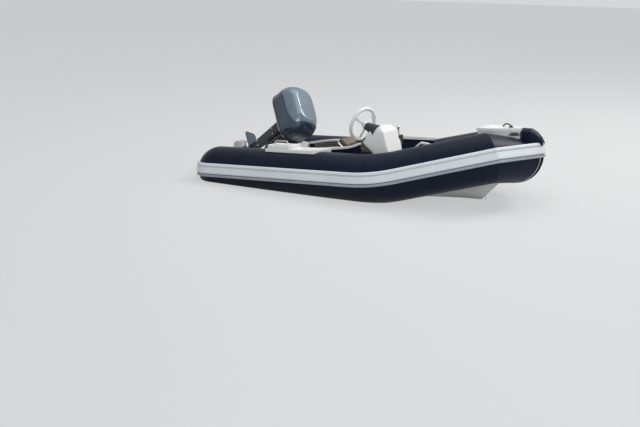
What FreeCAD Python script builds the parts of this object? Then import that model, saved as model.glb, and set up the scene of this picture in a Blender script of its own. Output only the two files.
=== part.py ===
import FreeCAD, Part
import math
import os
import Sketcher
from FreeCAD import Placement, Rotation, Vector

# Rigid inflatable boat, about 3.6 m long, with a helm console and a tilted outboard.
# The boat is drawn level (X forward, Y to port, Z up, millimetres, origin on the waterline
# amidships), and every piece is then turned as the boat floats: bow up and a little down to port.

SIZES = [
    # attitude
    ("trim_angle", 3.4, "bow-up attitude afloat, degrees"),
    ("heel_angle", 2.8, "port side down afloat, degrees"),
    ("heel_line_y", 640, "line about which the boat heels, out to starboard"),
    ("heel_line_z", 234, "line about which the boat heels, height"),
    ("fit_gap", 0.3, "gap between curved faces that seat on each other"),
    ("running_gap", 0.1, "radial clearance of turning pins"),
    # buoyancy tubes: the axis runs straight, bends at the knuckle, then meets the nose seam
    ("tube_radius", 246, "radius of the tube along the sides"),
    ("bow_tube_radius", 246, "radius of the tube at the nose seam"),
    ("tube_axis_y", 615, "half spacing of the tube axes"),
    ("tube_axis_z", 190, "height of the tube axes"),
    ("tube_stern_x", -1541, "centre of the round stern end"),
    ("knuckle_x", 370, "where the tube turns in and up"),
    ("knuckle_bend", 1100, "bend radius of the axis at the knuckle"),
    ("seam_x", 1400, "nose seam, along"),
    ("seam_y", 283, "nose seam, out from the centreline"),
    ("seam_z", 414, "nose seam, height"),
    ("nose_x", 1544, "axis of the nose on the centreline, along"),
    ("nose_z", 437, "axis of the nose on the centreline, height"),
    ("nose_reach", 294, "from that axis forward to the tip"),
    ("nose_inner_reach", 254, "from that axis aft to the inside of the nose"),
    ("nose_rise", 144, "from that axis up to the top of the nose"),
    ("nose_drop", 295, "from that axis down to the underside of the nose"),
    # fairing: a rounded ridge on the nose, ahead of the bow step
    ("fairing_aft_x", 1641, "aft end of the fairing"),
    ("fairing_top_z", 683, "top of the fairing at its aft end"),
    ("fairing_front_x", 1842, "front end of the fairing"),
    ("fairing_front_z", 566, "top of the fairing at its front end"),
    ("fairing_half_width", 66, "half width of the fairing at its foot"),
    # rubbing strakes, in section: out from the tube and up along its skin
    ("strake_depth", 24, "how far the ridges stand off the tube"),
    ("strake_half_height", 56, "half the height of the white band"),
    ("strake_lean", 9.5, "how far the band sits above the widest line of the sides, degrees"),
    ("strake_bow_lean", 13, "the same at the nose seam and the nose, degrees"),
    ("strake_wrap", 66, "how far the band wraps round the stern end, degrees"),
    ("lower_strip_top", 61, "top edge of the thin grey strip, below the widest line"),
    ("lower_strip_height", 27, "height of the thin grey strip"),
    ("lower_strip_depth", 12, "how far the thin grey strip stands off the tube"),
    # hull
    ("hull_aft_x", -1100, "aft end of the hull, at the back of the transom"),
    ("keel_z", -105, "keel line"),
    ("keel_flat", 12, "half width of the flat on the keel"),
    ("chine_y", 440, "half width at the chine"),
    ("chine_z", -15, "height of the chine"),
    ("hull_top_y", 525, "half width where the bottom meets the tubes"),
    ("hull_top_z", 82, "top of the bottom moulding, under the floor"),
    ("floor_thickness", 12, "cockpit floor"),
    ("floor_half_aft", 480, "half width of the floor along the straight sides"),
    ("floor_half_fore", 205, "half width of the floor at the bow deck"),
    # transom
    ("transom_thickness", 45, "transom board"),
    ("transom_top_z", 408, "height of the transom where the outboard hangs"),
    ("transom_half_width", 505, "half width before it is trimmed to the tubes"),
    ("transom_pad_thickness", 6, "wear plates under the clamps"),
    ("transom_pad_half_width", 130, "half width of the wear plates"),
    ("transom_pad_height", 210, "height of the wear plates"),
    # coaming: a slim white bar on a board that stands on the inner shoulder of each tube
    ("coaming_inner_y", 400, "inner edge of the coaming bar"),
    ("coaming_width", 34, "width of the coaming bar"),
    ("coaming_height", 24, "height of the coaming bar"),
    ("coaming_aft_x", -1050, "aft end of the coaming"),
    ("coaming_console_x", 74, "front end of the starboard coaming, at the console"),
    ("coaming_front_x", 500, "front end of the port coaming"),
    ("coaming_top_z", 503, "top of the coaming beside the console"),
    ("board_thickness", 14, "board under the bar"),
    ("bolster_thickness", 24, "padding on the board"),
    ("bolster_aft_x", -980, "aft end of the padding"),
    ("bolster_front_x", -150, "front end of the padding"),
    # aft side decks on the tubes
    ("side_deck_aft_x", -895, "aft end of the side decks"),
    ("side_deck_length", 585, "length of the lower tier"),
    ("side_deck_upper_length", 292, "length of the upper tier"),
    ("side_deck_inner_y", 471, "inner edge"),
    ("side_deck_outer_y", 706, "outer edge"),
    ("side_deck_rise", 18, "top of the lower tier above the tube"),
    ("side_deck_upper_rise", 52, "top of the upper tier above the tube"),
    ("side_deck_step", 32, "how far the upper tier is set in"),
    ("handle_length", 165, "stern handle, along"),
    ("handle_height", 44, "stern handle, up"),
    ("handle_rod", 6, "radius of the stern handle's rod"),
    # bow step with its anchor locker hatch
    ("step_aft_x", 1232, "aft face of the bow step"),
    ("step_shoulder_x", 1392, "where the sides of the step turn in"),
    ("step_front_x", 1622, "front face of the step at its top"),
    ("step_half_width", 150, "half width aft"),
    ("step_front_half_width", 58, "half width at the front"),
    ("step_base_z", 455, "underside of the step"),
    ("step_top_z", 656, "top of the step under the hatch"),
    ("hatch_thickness", 28, "hatch on the step"),
    ("hatch_overhang", 12, "hatch edge beyond the step"),
    ("locker_wall", 10, "wall of the step"),
    ("locker_depth", 150, "depth of the anchor locker"),
    ("hatch_gap", 1, "gap under the hatch"),
    ("bow_eye_x", 1241, "bow eye on the stem, along"),
    ("bow_eye_z", -30, "bow eye on the stem, height"),
    ("cleat_share", 0.80, "place of the cleat along the slanting side of the step"),
    ("cleat_drop", 29, "cleat below the top of the step"),
    # bow deck
    ("bow_deck_aft_x", 1010, "aft face of the bow deck"),
    ("bow_deck_top_z", 330, "top of the bow deck"),
    ("bow_deck_thickness", 80, "bow deck, set into the hull"),
    ("bow_deck_front_x", 1310, "front of the bow deck"),
    ("bow_deck_half_width", 215, "half width of the bow deck before it meets the tubes"),
    # console
    ("console_aft_x", 66, "aft face of the console"),
    ("console_foot_x", 225, "aft edge of the console's foot"),
    ("console_knee_z", 416, "where the recess over the foot ends"),
    ("console_front_x", 425, "foot of the sloping front"),
    ("console_y", -207, "middle of the console"),
    ("console_half_width", 178, "half width of the console"),
    ("console_dash_z", 515, "lower edge of the dash"),
    ("console_top_z", 690, "top of the console"),
    ("console_top_x", 190, "aft edge of the top"),
    ("console_shoulder_x", 265, "front edge of the top"),
    ("console_nose_radius", 150, "rounding of the front corners in plan"),
    ("console_crown_radius", 90, "rounding of the top corners from the front"),
    ("console_flange", 14, "foot flange of the console"),
    ("console_flange_height", 14, "thickness of the foot flange"),
    # steering
    ("wheel_x", 15, "centre of the steering wheel, along"),
    ("wheel_y", -256, "centre of the steering wheel, across"),
    ("wheel_z", 693, "centre of the steering wheel, height"),
    ("wheel_rake", 17, "column rises towards the driver, degrees"),
    ("wheel_yaw", 16, "column turned towards the middle, degrees"),
    ("wheel_radius", 165, "radius of the rim's centre line"),
    ("wheel_rim", 14, "radius of the rim"),
    ("wheel_spoke_width", 30, "width of a spoke"),
    ("wheel_spoke_thickness", 9, "thickness of a spoke"),
    ("wheel_dish", 26, "hub set forward of the rim"),
    ("wheel_hub_radius", 36, "hub"),
    ("wheel_hub_length", 34, "hub"),
    ("helm_radius", 66, "helm housing at the console"),
    ("helm_front_radius", 40, "helm housing at the wheel"),
    ("helm_length", 150, "helm housing"),
    ("shaft_radius", 10, "steering shaft"),
    ("shaft_length", 60, "steering shaft in the housing"),
    # throttle
    ("throttle_x", 215, "throttle box, along"),
    ("throttle_z", 565, "throttle box, height"),
    ("throttle_length", 120, "throttle box"),
    ("throttle_height", 95, "throttle box"),
    ("throttle_width", 52, "throttle box"),
    ("lever_length", 120, "throttle lever"),
    ("lever_radius", 9, "throttle lever"),
    ("knob_radius", 17, "throttle knob"),
    # helm seat
    ("seat_aft_x", -330, "aft face of the seat box"),
    ("seat_length", 270, "seat box, along"),
    ("seat_y", -120, "middle of the seat"),
    ("seat_half_width", 112, "half width of the seat box"),
    ("seat_box_top_z", 292, "top of the seat box"),
    ("cushion_thickness", 52, "cushions"),
    ("backrest_pivot_x", -165, "pivot of the folding backrest"),
    ("backrest_pivot_z", 385, "pivot of the folding backrest"),
    ("backrest_lean", 50, "lean of the backrest from upright, degrees"),
    ("backrest_length", 170, "from the pivot to the top bar"),
    ("backrest_half_width", 134, "half spacing of the backrest's arms"),
    ("backrest_rod", 11, "radius of the backrest tube"),
    ("backrest_pad_height", 120, "backrest pad"),
    ("backrest_pad_thickness", 34, "backrest pad"),
    # aft bench
    ("bench_aft_x", -740, "aft face of the bench"),
    ("bench_length", 290, "bench, along"),
    ("bench_side_gap", 17, "clearance of the bench from the tube on each side"),
    ("lid_barrel_inset", 70, "from the end of the lid to its hinge barrel, to starboard"),
    ("lid_barrel_inset_port", 224, "from the end of the lid to the start of its hinge barrel, to port"),
    ("lid_barrel_length", 70, "hinge barrel of the lid"),
    ("bench_top_z", 285, "top of the bench box"),
    ("bench_wall", 12, "wall of the bench box"),
    ("lid_thickness", 16, "bench lid"),
    ("hinge_radius", 6, "hinge barrels"),
    ("lid_lip", 9, "front lip of the bench lid"),
    # outboard: measured in its own upright frame from the tilt axis
    ("tilt_axis_x", -1064, "tilt axis, along"),
    ("tilt_axis_z", 436, "tilt axis, height"),
    ("rest_tilt", 58, "tilt at rest from the leg upright in the boat, degrees"),
    ("rest_steer", -24, "steering angle at rest, degrees"),
    ("tilt_tube_radius", 11, "tilt tube"),
    ("tilt_tube_length", 236, "tilt tube"),
    ("clamp_inner_y", 72, "inner face of the clamp plates"),
    ("clamp_plate", 14, "thickness of the clamp plates"),
    ("clamp_front_reach", 46, "clamp arm in front of the transom"),
    ("clamp_drop", 300, "clamp plate down the back of the transom"),
    ("clamp_screw_radius", 8, "clamp screws"),
    ("swivel_x", -100, "steering axis behind the tilt axis"),
    ("swivel_tube_radius", 29, "steering tube"),
    ("swivel_pin_radius", 14, "steering pin"),
    ("swivel_top_z", 28, "top of the steering tube"),
    ("swivel_bottom_z", -235, "bottom of the steering tube"),
    ("swivel_hub_radius", 20, "hub on the tilt tube"),
    ("leg_front_x", -140, "front of the leg"),
    ("leg_top_length", 150, "leg at its top, along"),
    ("leg_bottom_length", 112, "leg at its bottom, along"),
    ("leg_half_width", 46, "half width of the leg"),
    ("pan_bottom_z", 60, "underside of the lower cowl"),
    ("cowl_seam_z", 96, "seam between the lower cowl and the hood"),
    ("cowl_top_z", 389, "top of the hood"),
    ("cowl_front_x", 60, "front of the hood"),
    ("cowl_aft_x", -532, "back of the hood"),
    ("cowl_half_width", 192, "half width of the hood"),
    ("cowl_wall", 5, "wall of the hood"),
    ("plate_z", -480, "anti-ventilation plate"),
    ("plate_thickness", 8, "anti-ventilation plate"),
    ("prop_z", -618, "propeller shaft axis"),
    ("gearcase_radius", 40, "gearcase bullet"),
    ("gearcase_nose_x", -92, "nose of the gearcase"),
    ("gearcase_aft_x", -276, "aft end of the gearcase"),
    ("skeg_bottom_z", -778, "tip of the skeg"),
    ("prop_radius", 126, "propeller"),
    ("prop_hub_radius", 34, "propeller hub"),
    ("prop_hub_length", 92, "propeller hub"),
    ("prop_gap", 0.5, "gap between the gearcase and the propeller"),
    ("prop_blades", 3, "number of blades"),
    ("prop_pitch_angle", 27, "blade angle, degrees"),
    ("blade_thickness", 6, "blade"),
    ("powerhead_length", 300, "engine block inside the hood"),
    ("powerhead_width", 210, "engine block inside the hood"),
    ("powerhead_height", 190, "engine block inside the hood"),
]

UP = Vector(0, 0, 1)
FORWARD = Vector(1, 0, 0)
PORT = Vector(0, 1, 0)
ORIGIN = Vector(0, 0, 0)

doc = FreeCAD.newDocument("RibBoat")
sheet = doc.addObject("Spreadsheet::Sheet", "Sizes")


class Size:
    """A number that remembers the sheet formula it comes from."""

    def __init__(self, value, formula):
        self.value = float(value)
        self.formula = formula

    def __float__(self):
        return self.value

    def __add__(self, other):
        return combine(self, "+", other)

    def __radd__(self, other):
        return combine(other, "+", self)

    def __sub__(self, other):
        return combine(self, "-", other)

    def __rsub__(self, other):
        return combine(other, "-", self)

    def __mul__(self, other):
        return combine(self, "*", other)

    def __rmul__(self, other):
        return combine(other, "*", self)

    def __truediv__(self, other):
        return combine(self, "/", other)

    def __neg__(self):
        return combine(0, "-", self)


def as_size(value):
    """A plain number as a Size."""
    if isinstance(value, Size):
        return value
    return Size(value, repr(float(value)))


def combine(left, sign, right):
    """The Size that a sum, difference, product or quotient of two values gives."""
    first = as_size(left)
    second = as_size(right)
    results = {
        "+": lambda a, b: a + b,
        "-": lambda a, b: a - b,
        "*": lambda a, b: a * b,
        "/": lambda a, b: a / b,
    }
    value = results[sign](first.value, second.value)
    return Size(value, f"({first.formula} {sign} {second.formula})")


class Sizes:
    """Every named size of the boat, by name."""


def fill_sheet():
    """Writes the table of sizes into the sheet and returns them by name."""
    named = Sizes()
    for row, (alias, value, meaning) in enumerate(SIZES, start=1):
        sheet.set(f"A{row}", alias)
        sheet.set(f"B{row}", str(value))
        sheet.setAlias(f"B{row}", alias)
        sheet.set(f"C{row}", meaning)
    doc.recompute()
    for alias, _, _ in SIZES:
        setattr(named, alias, Size(sheet.get(alias), f"Sizes.{alias}"))
    return named


size = fill_sheet()
GAP = float(size.fit_gap)
RUNNING = float(size.running_gap)
HEEL_LINE = Vector(0, -float(size.heel_line_y), float(size.heel_line_z))
HEEL = Placement(HEEL_LINE, Rotation(FORWARD, -float(size.heel_angle))).multiply(Placement(HEEL_LINE * -1, Rotation()))
AFLOAT = Placement(ORIGIN, Rotation(PORT, -float(size.trim_angle))).multiply(HEEL)
parts = []


def sub_part(thing, label, placement=None):
    """Seats a finished piece in a holder of its own, which floats with the boat."""
    if placement is not None:
        thing.Placement = placement
    holder = doc.addObject("Part::Compound", thing.Name + "Afloat")
    holder.Links = [thing]
    holder.Label = label
    holder.Placement = AFLOAT
    parts.append(holder)
    return thing


# Building blocks


def plane_of(body, role):
    """One of the origin planes of a body."""
    return [item for item in body.Origin.OriginFeatures if item.Role == role][0]


def outline(body, name, role, corners):
    """A closed sketch whose corners are bound to their formulas."""
    sketch = body.newObject("Sketcher::SketchObject", name)
    sketch.AttachmentSupport = [(plane_of(body, role), "")]
    sketch.MapMode = "FlatFace"
    points = [Vector(float(x), float(y), 0) for x, y in corners]
    count = len(points)
    for index, point in enumerate(points):
        sketch.addGeometry(Part.LineSegment(point, points[(index + 1) % count]), False)
    for index in range(count):
        sketch.addConstraint(Sketcher.Constraint("Coincident", index, 2, (index + 1) % count, 1))
    for index, (x, y) in enumerate(corners):
        for axis, amount in (("X", x), ("Y", y)):
            rule = Sketcher.Constraint(f"Distance{axis}", -1, 1, index, 1, float(amount))
            number = sketch.addConstraint(rule)
            sketch.renameConstraint(number, f"corner_{index}_{axis}")
            if isinstance(amount, Size):
                sketch.setExpression(f"Constraints.corner_{index}_{axis}", amount.formula)
    return sketch


def circle_sketch(body, name, role, radius, x=0, y=0):
    """A sketch of one circle, bound to its radius and centre."""
    sketch = body.newObject("Sketcher::SketchObject", name)
    sketch.AttachmentSupport = [(plane_of(body, role), "")]
    sketch.MapMode = "FlatFace"
    centre = Vector(float(x), float(y), 0)
    sketch.addGeometry(Part.Circle(centre, Vector(0, 0, 1), float(radius)), False)
    rules = (
        ("radius", Sketcher.Constraint("Radius", 0, float(radius)), radius),
        ("centre_X", Sketcher.Constraint("DistanceX", -1, 1, 0, 3, float(x)), x),
        ("centre_Y", Sketcher.Constraint("DistanceY", -1, 1, 0, 3, float(y)), y),
    )
    for name_of_rule, rule, amount in rules:
        number = sketch.addConstraint(rule)
        sketch.renameConstraint(number, name_of_rule)
        if isinstance(amount, Size):
            sketch.setExpression(f"Constraints.{name_of_rule}", amount.formula)
    return sketch


def bind(thing, **values):
    """Sets properties of a piece, binding those that are Sizes."""
    for name, amount in values.items():
        if isinstance(amount, Size):
            setattr(thing, name, float(amount))
            thing.setExpression(name, amount.formula)
        else:
            setattr(thing, name, amount)
    return thing


def padded_body(name, role, corners, length, symmetric=True):
    """A body made by padding one closed outline."""
    body = doc.addObject("PartDesign::Body", name)
    pad = body.newObject("PartDesign::Pad", name + "Pad")
    pad.Profile = outline(body, name + "Outline", role, corners)
    bind(pad, Length=length)
    pad.SideType = "Symmetric" if symmetric else "One side"
    return body


def rectangle(x0, x1, y0, y1):
    """The corners of a rectangle."""
    return [(x0, y0), (x1, y0), (x1, y1), (x0, y1)]


def cut(name, base, tool):
    """One piece less another."""
    result = doc.addObject("Part::Cut", name)
    result.Base = base
    result.Tool = tool
    return result


def fuse(name, *shapes):
    """Several pieces as one."""
    result = doc.addObject("Part::MultiFuse", name)
    result.Shapes = list(shapes)
    return result


def common(name, *shapes):
    """What several pieces share."""
    result = doc.addObject("Part::MultiCommon", name)
    result.Shapes = list(shapes)
    return result


def mirrored(name, source):
    """The port twin of a starboard piece."""
    result = doc.addObject("Part::Mirroring", name)
    result.Source = source
    result.Normal = PORT
    return result


def block(name, x, y, z, length, width, height):
    """A box from its lowest corner."""
    result = doc.addObject("Part::Box", name)
    bind(result, Length=length, Width=width, Height=height)
    place(result, x, y, z)
    return result


def slab(name, length, width, height):
    """A box with its lowest corner at its own origin."""
    return bind(doc.addObject("Part::Box", name), Length=length, Width=width, Height=height)


def rod(name, radius, length, x=0, y=0, z=0, direction=UP):
    """A round bar from a point along a direction."""
    result = doc.addObject("Part::Cylinder", name)
    bind(result, Radius=radius, Height=length)
    place(result, x, y, z, Rotation(UP, direction))
    return result


def place(thing, x, y, z, rotation=None):
    """Places a piece, binding the coordinates that are Sizes."""
    thing.Placement = Placement(Vector(float(x), float(y), float(z)), rotation or Rotation())
    for axis, amount in (("x", x), ("y", y), ("z", z)):
        if isinstance(amount, Size):
            thing.setExpression(f"Placement.Base.{axis}", amount.formula)
    return thing


def from_shape(name, shape):
    """A piece whose shape is worked out from the sizes here."""
    result = doc.addObject("Part::Feature", name)
    result.Shape = shape
    return result


def polygon_wire(points):
    """A closed wire through points."""
    return Part.makePolygon(list(points) + [points[0]])


# The tube's path: straight side, bend at the knuckle, straight bow run, nose


class TubePath:
    """The starboard tube's axis and the frames in which its sections are drawn."""

    def __init__(self):
        self.stern = Vector(float(size.tube_stern_x), -float(size.tube_axis_y), float(size.tube_axis_z))
        self.knuckle = Vector(float(size.knuckle_x), self.stern.y, self.stern.z)
        self.seam = Vector(float(size.seam_x), -float(size.seam_y), float(size.seam_z))
        self.nose = Vector(float(size.nose_x), 0, float(size.nose_z))
        self.bow_way = (self.seam - self.knuckle).normalize()
        self.nose_way = (self.nose - self.seam).normalize()
        self.bend_axis = FORWARD.cross(self.bow_way).normalize()
        self.bend_angle = math.degrees(FORWARD.getAngle(self.bow_way))
        bend = float(size.knuckle_bend)
        tangent = bend * math.tan(math.radians(self.bend_angle / 2))
        self.bend_start = self.knuckle - FORWARD * tangent
        self.bend_end = self.knuckle + self.bow_way * tangent
        self.bend_centre = self.bend_start + self.bend_axis.cross(FORWARD) * bend
        self.side = FORWARD.cross(UP)
        turn = Rotation(self.bend_axis, self.bend_angle)
        self.bow_side = turn.multVec(self.side)
        self.bow_up = turn.multVec(UP)
        self.mitre = (self.bow_way + self.nose_way).normalize()

    def at_side(self, point, out, rise):
        """A point of a section of the straight side."""
        return point + self.side * out + UP * rise

    def at_bow(self, point, out, rise):
        """A point of a section of the bow run."""
        return point + self.bow_side * out + self.bow_up * rise

    def at_seam(self, out, rise):
        """A point of the bow run's section, slid onto the mitre plane of the nose seam."""
        level_side = self.bow_way.cross(UP).normalize()
        level_up = level_side.cross(self.bow_way)
        point = self.seam + level_side * out + level_up * rise
        slide = -(point - self.seam).dot(self.mitre) / self.bow_way.dot(self.mitre)
        return point + self.bow_way * slide

    def at_nose(self, out, rise):
        """A point of the section on the centreline, where out is square to the nose."""
        plan = math.hypot(self.nose_way.x, self.nose_way.y)
        return self.nose + FORWARD * (out * plan / self.nose_way.y) + UP * rise


path = TubePath()


def quarter_arcs(centre, out, up, inner=None, down=None):
    """A closed oval in four quarters: out, up, in and down, each of its own reach."""
    inner = inner if inner is not None else out * -1
    down = down if down is not None else up * -1
    corners = [out, up, inner, down]
    edges = []
    for start, end in zip(corners, corners[1:] + corners[:1]):
        steep = math.sqrt(0.5)
        begin = centre + start
        finish = centre + end
        longer, shorter = (start, end) if start.Length >= end.Length else (end, start)
        if abs(longer.Length - shorter.Length) < 1e-6:
            middle = centre + (start + end) * steep
            edges.append(Part.Arc(begin, middle, finish).toShape())
            continue
        oval = Part.Ellipse(centre + longer, centre + shorter, centre)
        first = oval.parameter(centre + longer)
        last = oval.parameter(centre + shorter)
        if last < first:
            last += 2 * math.pi
        edge = Part.Arc(oval, first, last).toShape()
        if longer is end:
            edge.reverse()
        edges.append(edge)
    return Part.Wire(edges)


def seam_section(radius):
    """The tube's section on the mitre plane of the nose seam."""
    minor = path.bow_way.cross(path.mitre).normalize()
    if minor.z < 0:
        minor = minor * -1
    major = minor.cross(path.mitre)
    if major.y > 0:
        major = major * -1
    stretch = radius / path.bow_way.dot(path.mitre)
    return quarter_arcs(path.seam, major * stretch, minor * radius)


def round_section(centre, side, up, radius):
    """A round section in four quarters that start at the outer side."""
    return quarter_arcs(centre, side * radius, up * radius)


def nose_section(extra):
    """The section on the centreline: low on top, deep below."""
    front = FORWARD * (float(size.nose_reach) + extra)
    back = FORWARD * -(float(size.nose_inner_reach) + extra)
    rise = UP * (float(size.nose_rise) + extra)
    drop = UP * -(float(size.nose_drop) + extra)
    return quarter_arcs(path.nose, front, rise, back, drop)


def tube_shape(extra=0.0):
    """The starboard tube as a solid, thicker all round by extra."""
    radius = float(size.tube_radius) + extra
    bow_radius = float(size.bow_tube_radius) + extra
    pole = path.stern - FORWARD * radius
    shoulder = path.stern + path.side * radius
    middle = path.stern + (path.side - FORWARD).normalize() * radius
    profile = Part.Wire([
        Part.Arc(pole, middle, shoulder).toShape(),
        Part.makeLine(shoulder, path.bend_start + path.side * radius),
        Part.makeLine(path.bend_start + path.side * radius, path.bend_start),
        Part.makeLine(path.bend_start, pole),
    ])
    side = Part.Face(profile).revolve(path.stern, FORWARD, 360)
    disc = Part.Face(Part.Wire(Part.makeCircle(radius, path.bend_start, FORWARD)))
    bend = disc.revolve(path.bend_centre, path.bend_axis, path.bend_angle)
    start = round_section(path.bend_end, path.bow_side, path.bow_up, radius)
    seam = seam_section(bow_radius)
    bow = Part.makeLoft([start, seam], True, True)
    nose = Part.makeLoft([seam_section(bow_radius), nose_section(extra)], True, True)
    return side.fuse([bend, bow, nose]).removeSplitter()


def leaned(profile, degrees, shift=0.0):
    """Corners (out, up along the skin) of a band turned up round the tube, as (out, rise)."""
    along = math.cos(math.radians(degrees))
    over = math.sin(math.radians(degrees))
    return [((o + shift) * along - r * over, (o + shift) * over + r * along) for o, r in profile]


def band_shape(profile, aft_x, wrap):
    """A band round the stern end, along the tube, and mitred at the nose seam."""
    start = Vector(aft_x, path.stern.y, path.stern.z)
    corners = leaned(profile, float(size.strake_lean))
    section = Part.Face(polygon_wire([path.at_side(start, o, r) for o, r in corners]))
    pieces = [section.extrude(path.bend_start - start), section.revolve(start, UP, -wrap)]
    section = Part.Face(polygon_wire([path.at_side(path.bend_start, o, r) for o, r in corners]))
    pieces.append(section.revolve(path.bend_centre, path.bend_axis, path.bend_angle))
    near = polygon_wire([path.at_bow(path.bend_end, o, r) for o, r in corners])
    bow_lean = float(size.strake_bow_lean)
    narrowing = float(size.bow_tube_radius - size.tube_radius)
    far = polygon_wire([path.at_seam(o, r) for o, r in leaned(profile, bow_lean, narrowing)])
    pieces.append(Part.makeLoft([near, far], True, True))
    tip_shift = float(size.nose_reach) * path.nose_way.y / math.hypot(path.nose_way.x, path.nose_way.y)
    shift = tip_shift - float(size.tube_radius)
    tip = polygon_wire([path.at_nose(o, r) for o, r in leaned(profile, bow_lean, shift)])
    pieces.append(Part.makeLoft([far, tip], True, True))
    return pieces[0].fuse(pieces[1:]).removeSplitter()


# Buoyancy tubes and what is glued to them


def make_tubes():
    """Both tubes, with their halves of the nose."""
    starboard = from_shape("TubeStarboard", tube_shape())
    sub_part(starboard, "tube_starboard")
    sub_part(mirrored("TubePort", starboard), "tube_port")
    clear = from_shape("TubeClearance", tube_shape(GAP))
    return clear, mirrored("TubeClearancePort", clear)


clear_starboard, clear_port = make_tubes()


def off_tubes(name, thing):
    """A piece trimmed back to both tubes, with the fitting gap."""
    both = fuse(name + "Tubes", clear_starboard, clear_port)
    return cut(name, thing, both)


def make_strakes():
    """The ridged white band and the thin grey strip under it, on both sides."""
    radius = float(size.tube_radius)
    half = float(size.strake_half_height)
    depth = float(size.strake_depth)
    root = radius - 60
    # out, rise: from the upper inner corner round the ridges to the lower inner corner
    band = [
        (root, half),
        (radius + 0.45 * depth, half),
        (radius + 0.95 * depth, half - 8),
        (radius + depth, half - 18),
        (radius + 0.95 * depth, half - 28),
        (radius + 0.55 * depth, half - 33),
        (radius + 0.55 * depth, half - 39),
        (radius + 0.92 * depth, half - 44),
        (radius + 0.92 * depth, -half + 12),
        (radius + 0.5 * depth, -half),
        (root, -half),
    ]
    raw = from_shape("StrakeBand", band_shape(band, path.stern.x, float(size.strake_wrap)))
    starboard = cut("StrakeStarboard", raw, clear_starboard)
    sub_part(starboard, "rub_strake_starboard")
    sub_part(mirrored("StrakePort", starboard), "rub_strake_port")
    top = -float(size.lower_strip_top)
    bottom = top - float(size.lower_strip_height)
    out = float(size.lower_strip_depth)
    strip = [
        (root, top),
        (radius + 0.7 * out, top),
        (radius + out, top - 4),
        (radius + out, bottom + 4),
        (radius + 0.5 * out, bottom),
        (root, bottom),
    ]
    raw = from_shape("LowerStrip", band_shape(strip, path.stern.x, float(size.strake_wrap)))
    starboard = cut("LowerStripStarboard", raw, clear_starboard)
    sub_part(starboard, "lower_strake_starboard")
    sub_part(mirrored("LowerStripPort", starboard), "lower_strake_port")


def coaming_section(x, inner_y, top, width, height):
    """The coaming bar's section across the boat, with its upper corners taken off."""
    bevel = min(width, height) * 0.22
    corners = [
        (inner_y, top - height), (inner_y, top - bevel), (inner_y - bevel, top),
        (inner_y - width + bevel, top), (inner_y - width, top - bevel), (inner_y - width, top - height),
    ]
    return polygon_wire([Vector(x, y, z) for y, z in corners])


def under_coaming(rows, first_x, last_x, y, thick):
    """An upright board from inside the tube up to the bar, between two places."""
    tops = [(x, top) for x, top in rows if first_x < x < last_x]
    height = float(size.coaming_height)

    def top_at(x):
        for (x0, z0), (x1, z1) in zip(rows, rows[1:]):
            if x0 <= x <= x1:
                return z0 + (z1 - z0) * (x - x0) / (x1 - x0)
        return rows[-1][1]

    line = [(first_x, top_at(first_x))] + tops + [(last_x, top_at(last_x))]
    points = [Vector(x, y, top - height - GAP) for x, top in line]
    points += [Vector(last_x, y, 250), Vector(first_x, y, 250)]
    return Part.Face(polygon_wire(points)).extrude(PORT * -thick)


def make_coaming():
    """The white bars, the boards under them, the padding inside, and the starboard hand rail."""
    inner = -float(size.coaming_inner_y)
    width = float(size.coaming_width)
    height = float(size.coaming_height)
    aft = float(size.coaming_aft_x)
    high = float(size.coaming_top_z)
    console_end = float(size.coaming_console_x)
    front = float(size.coaming_front_x)
    # along, top
    sheer = [(aft, high - 118), (-900, high - 93), (-750, high - 75), (-446, high - 58),
             (-262, high - 43), (-70, high - 23), (14, high)]
    starboard_rows = sheer + [(console_end, high + 24)]
    port_rows = sheer + [(front, high)]
    thin = [coaming_section(x, inner, top, width, height) for x, top in starboard_rows]
    starboard = Part.makeLoft(thin, True, True)
    thick = [coaming_section(x, inner, top, width, height + (10 if x > 0 else 0)) for x, top in port_rows]
    thick.append(coaming_section(front + 14, inner - 8, high - 4, width - 16, height))
    port = Part.makeLoft(thick, True, True).mirror(ORIGIN, PORT)
    # hand rail ahead of the console: along, top
    rail_rows = [(588, 470), (603, 481), (686, 508), (716, 535), (755, 561), (815, 554), (860, 541), (885, 520)]
    rail = Part.makeLoft([coaming_section(x, inner - 6, top, 24, 20) for x, top in rail_rows], True, True)
    bars = Part.makeCompound([starboard, port, rail])
    sub_part(off_tubes("Coaming", from_shape("CoamingRaw", bars)), "coaming")

    board = float(size.board_thickness)
    y = inner - (width - board) / 2
    boards = [under_coaming(starboard_rows, aft, console_end, y, board),
              under_coaming(port_rows, aft, front, y, board).mirror(ORIGIN, PORT)]
    root = [coaming_section(x, inner + 1, top, width + 2, height + (10 if x > 0 else 0) + GAP)
            for x, top in port_rows]
    boards[1] = boards[1].cut(Part.makeLoft(root, True, True).mirror(ORIGIN, PORT))
    sub_part(off_tubes("CoamingBoards", from_shape("BoardsRaw", Part.makeCompound(boards))), "coaming_boards")

    pad = float(size.bolster_thickness)
    pads = [under_coaming(sheer, float(size.bolster_aft_x), float(size.bolster_front_x), y + pad + GAP, pad)]
    pads.append(pads[0].mirror(ORIGIN, PORT))
    sub_part(off_tubes("Bolsters", from_shape("BolstersRaw", Part.makeCompound(pads))), "side_bolsters")


# Hull, floor, transom


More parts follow.
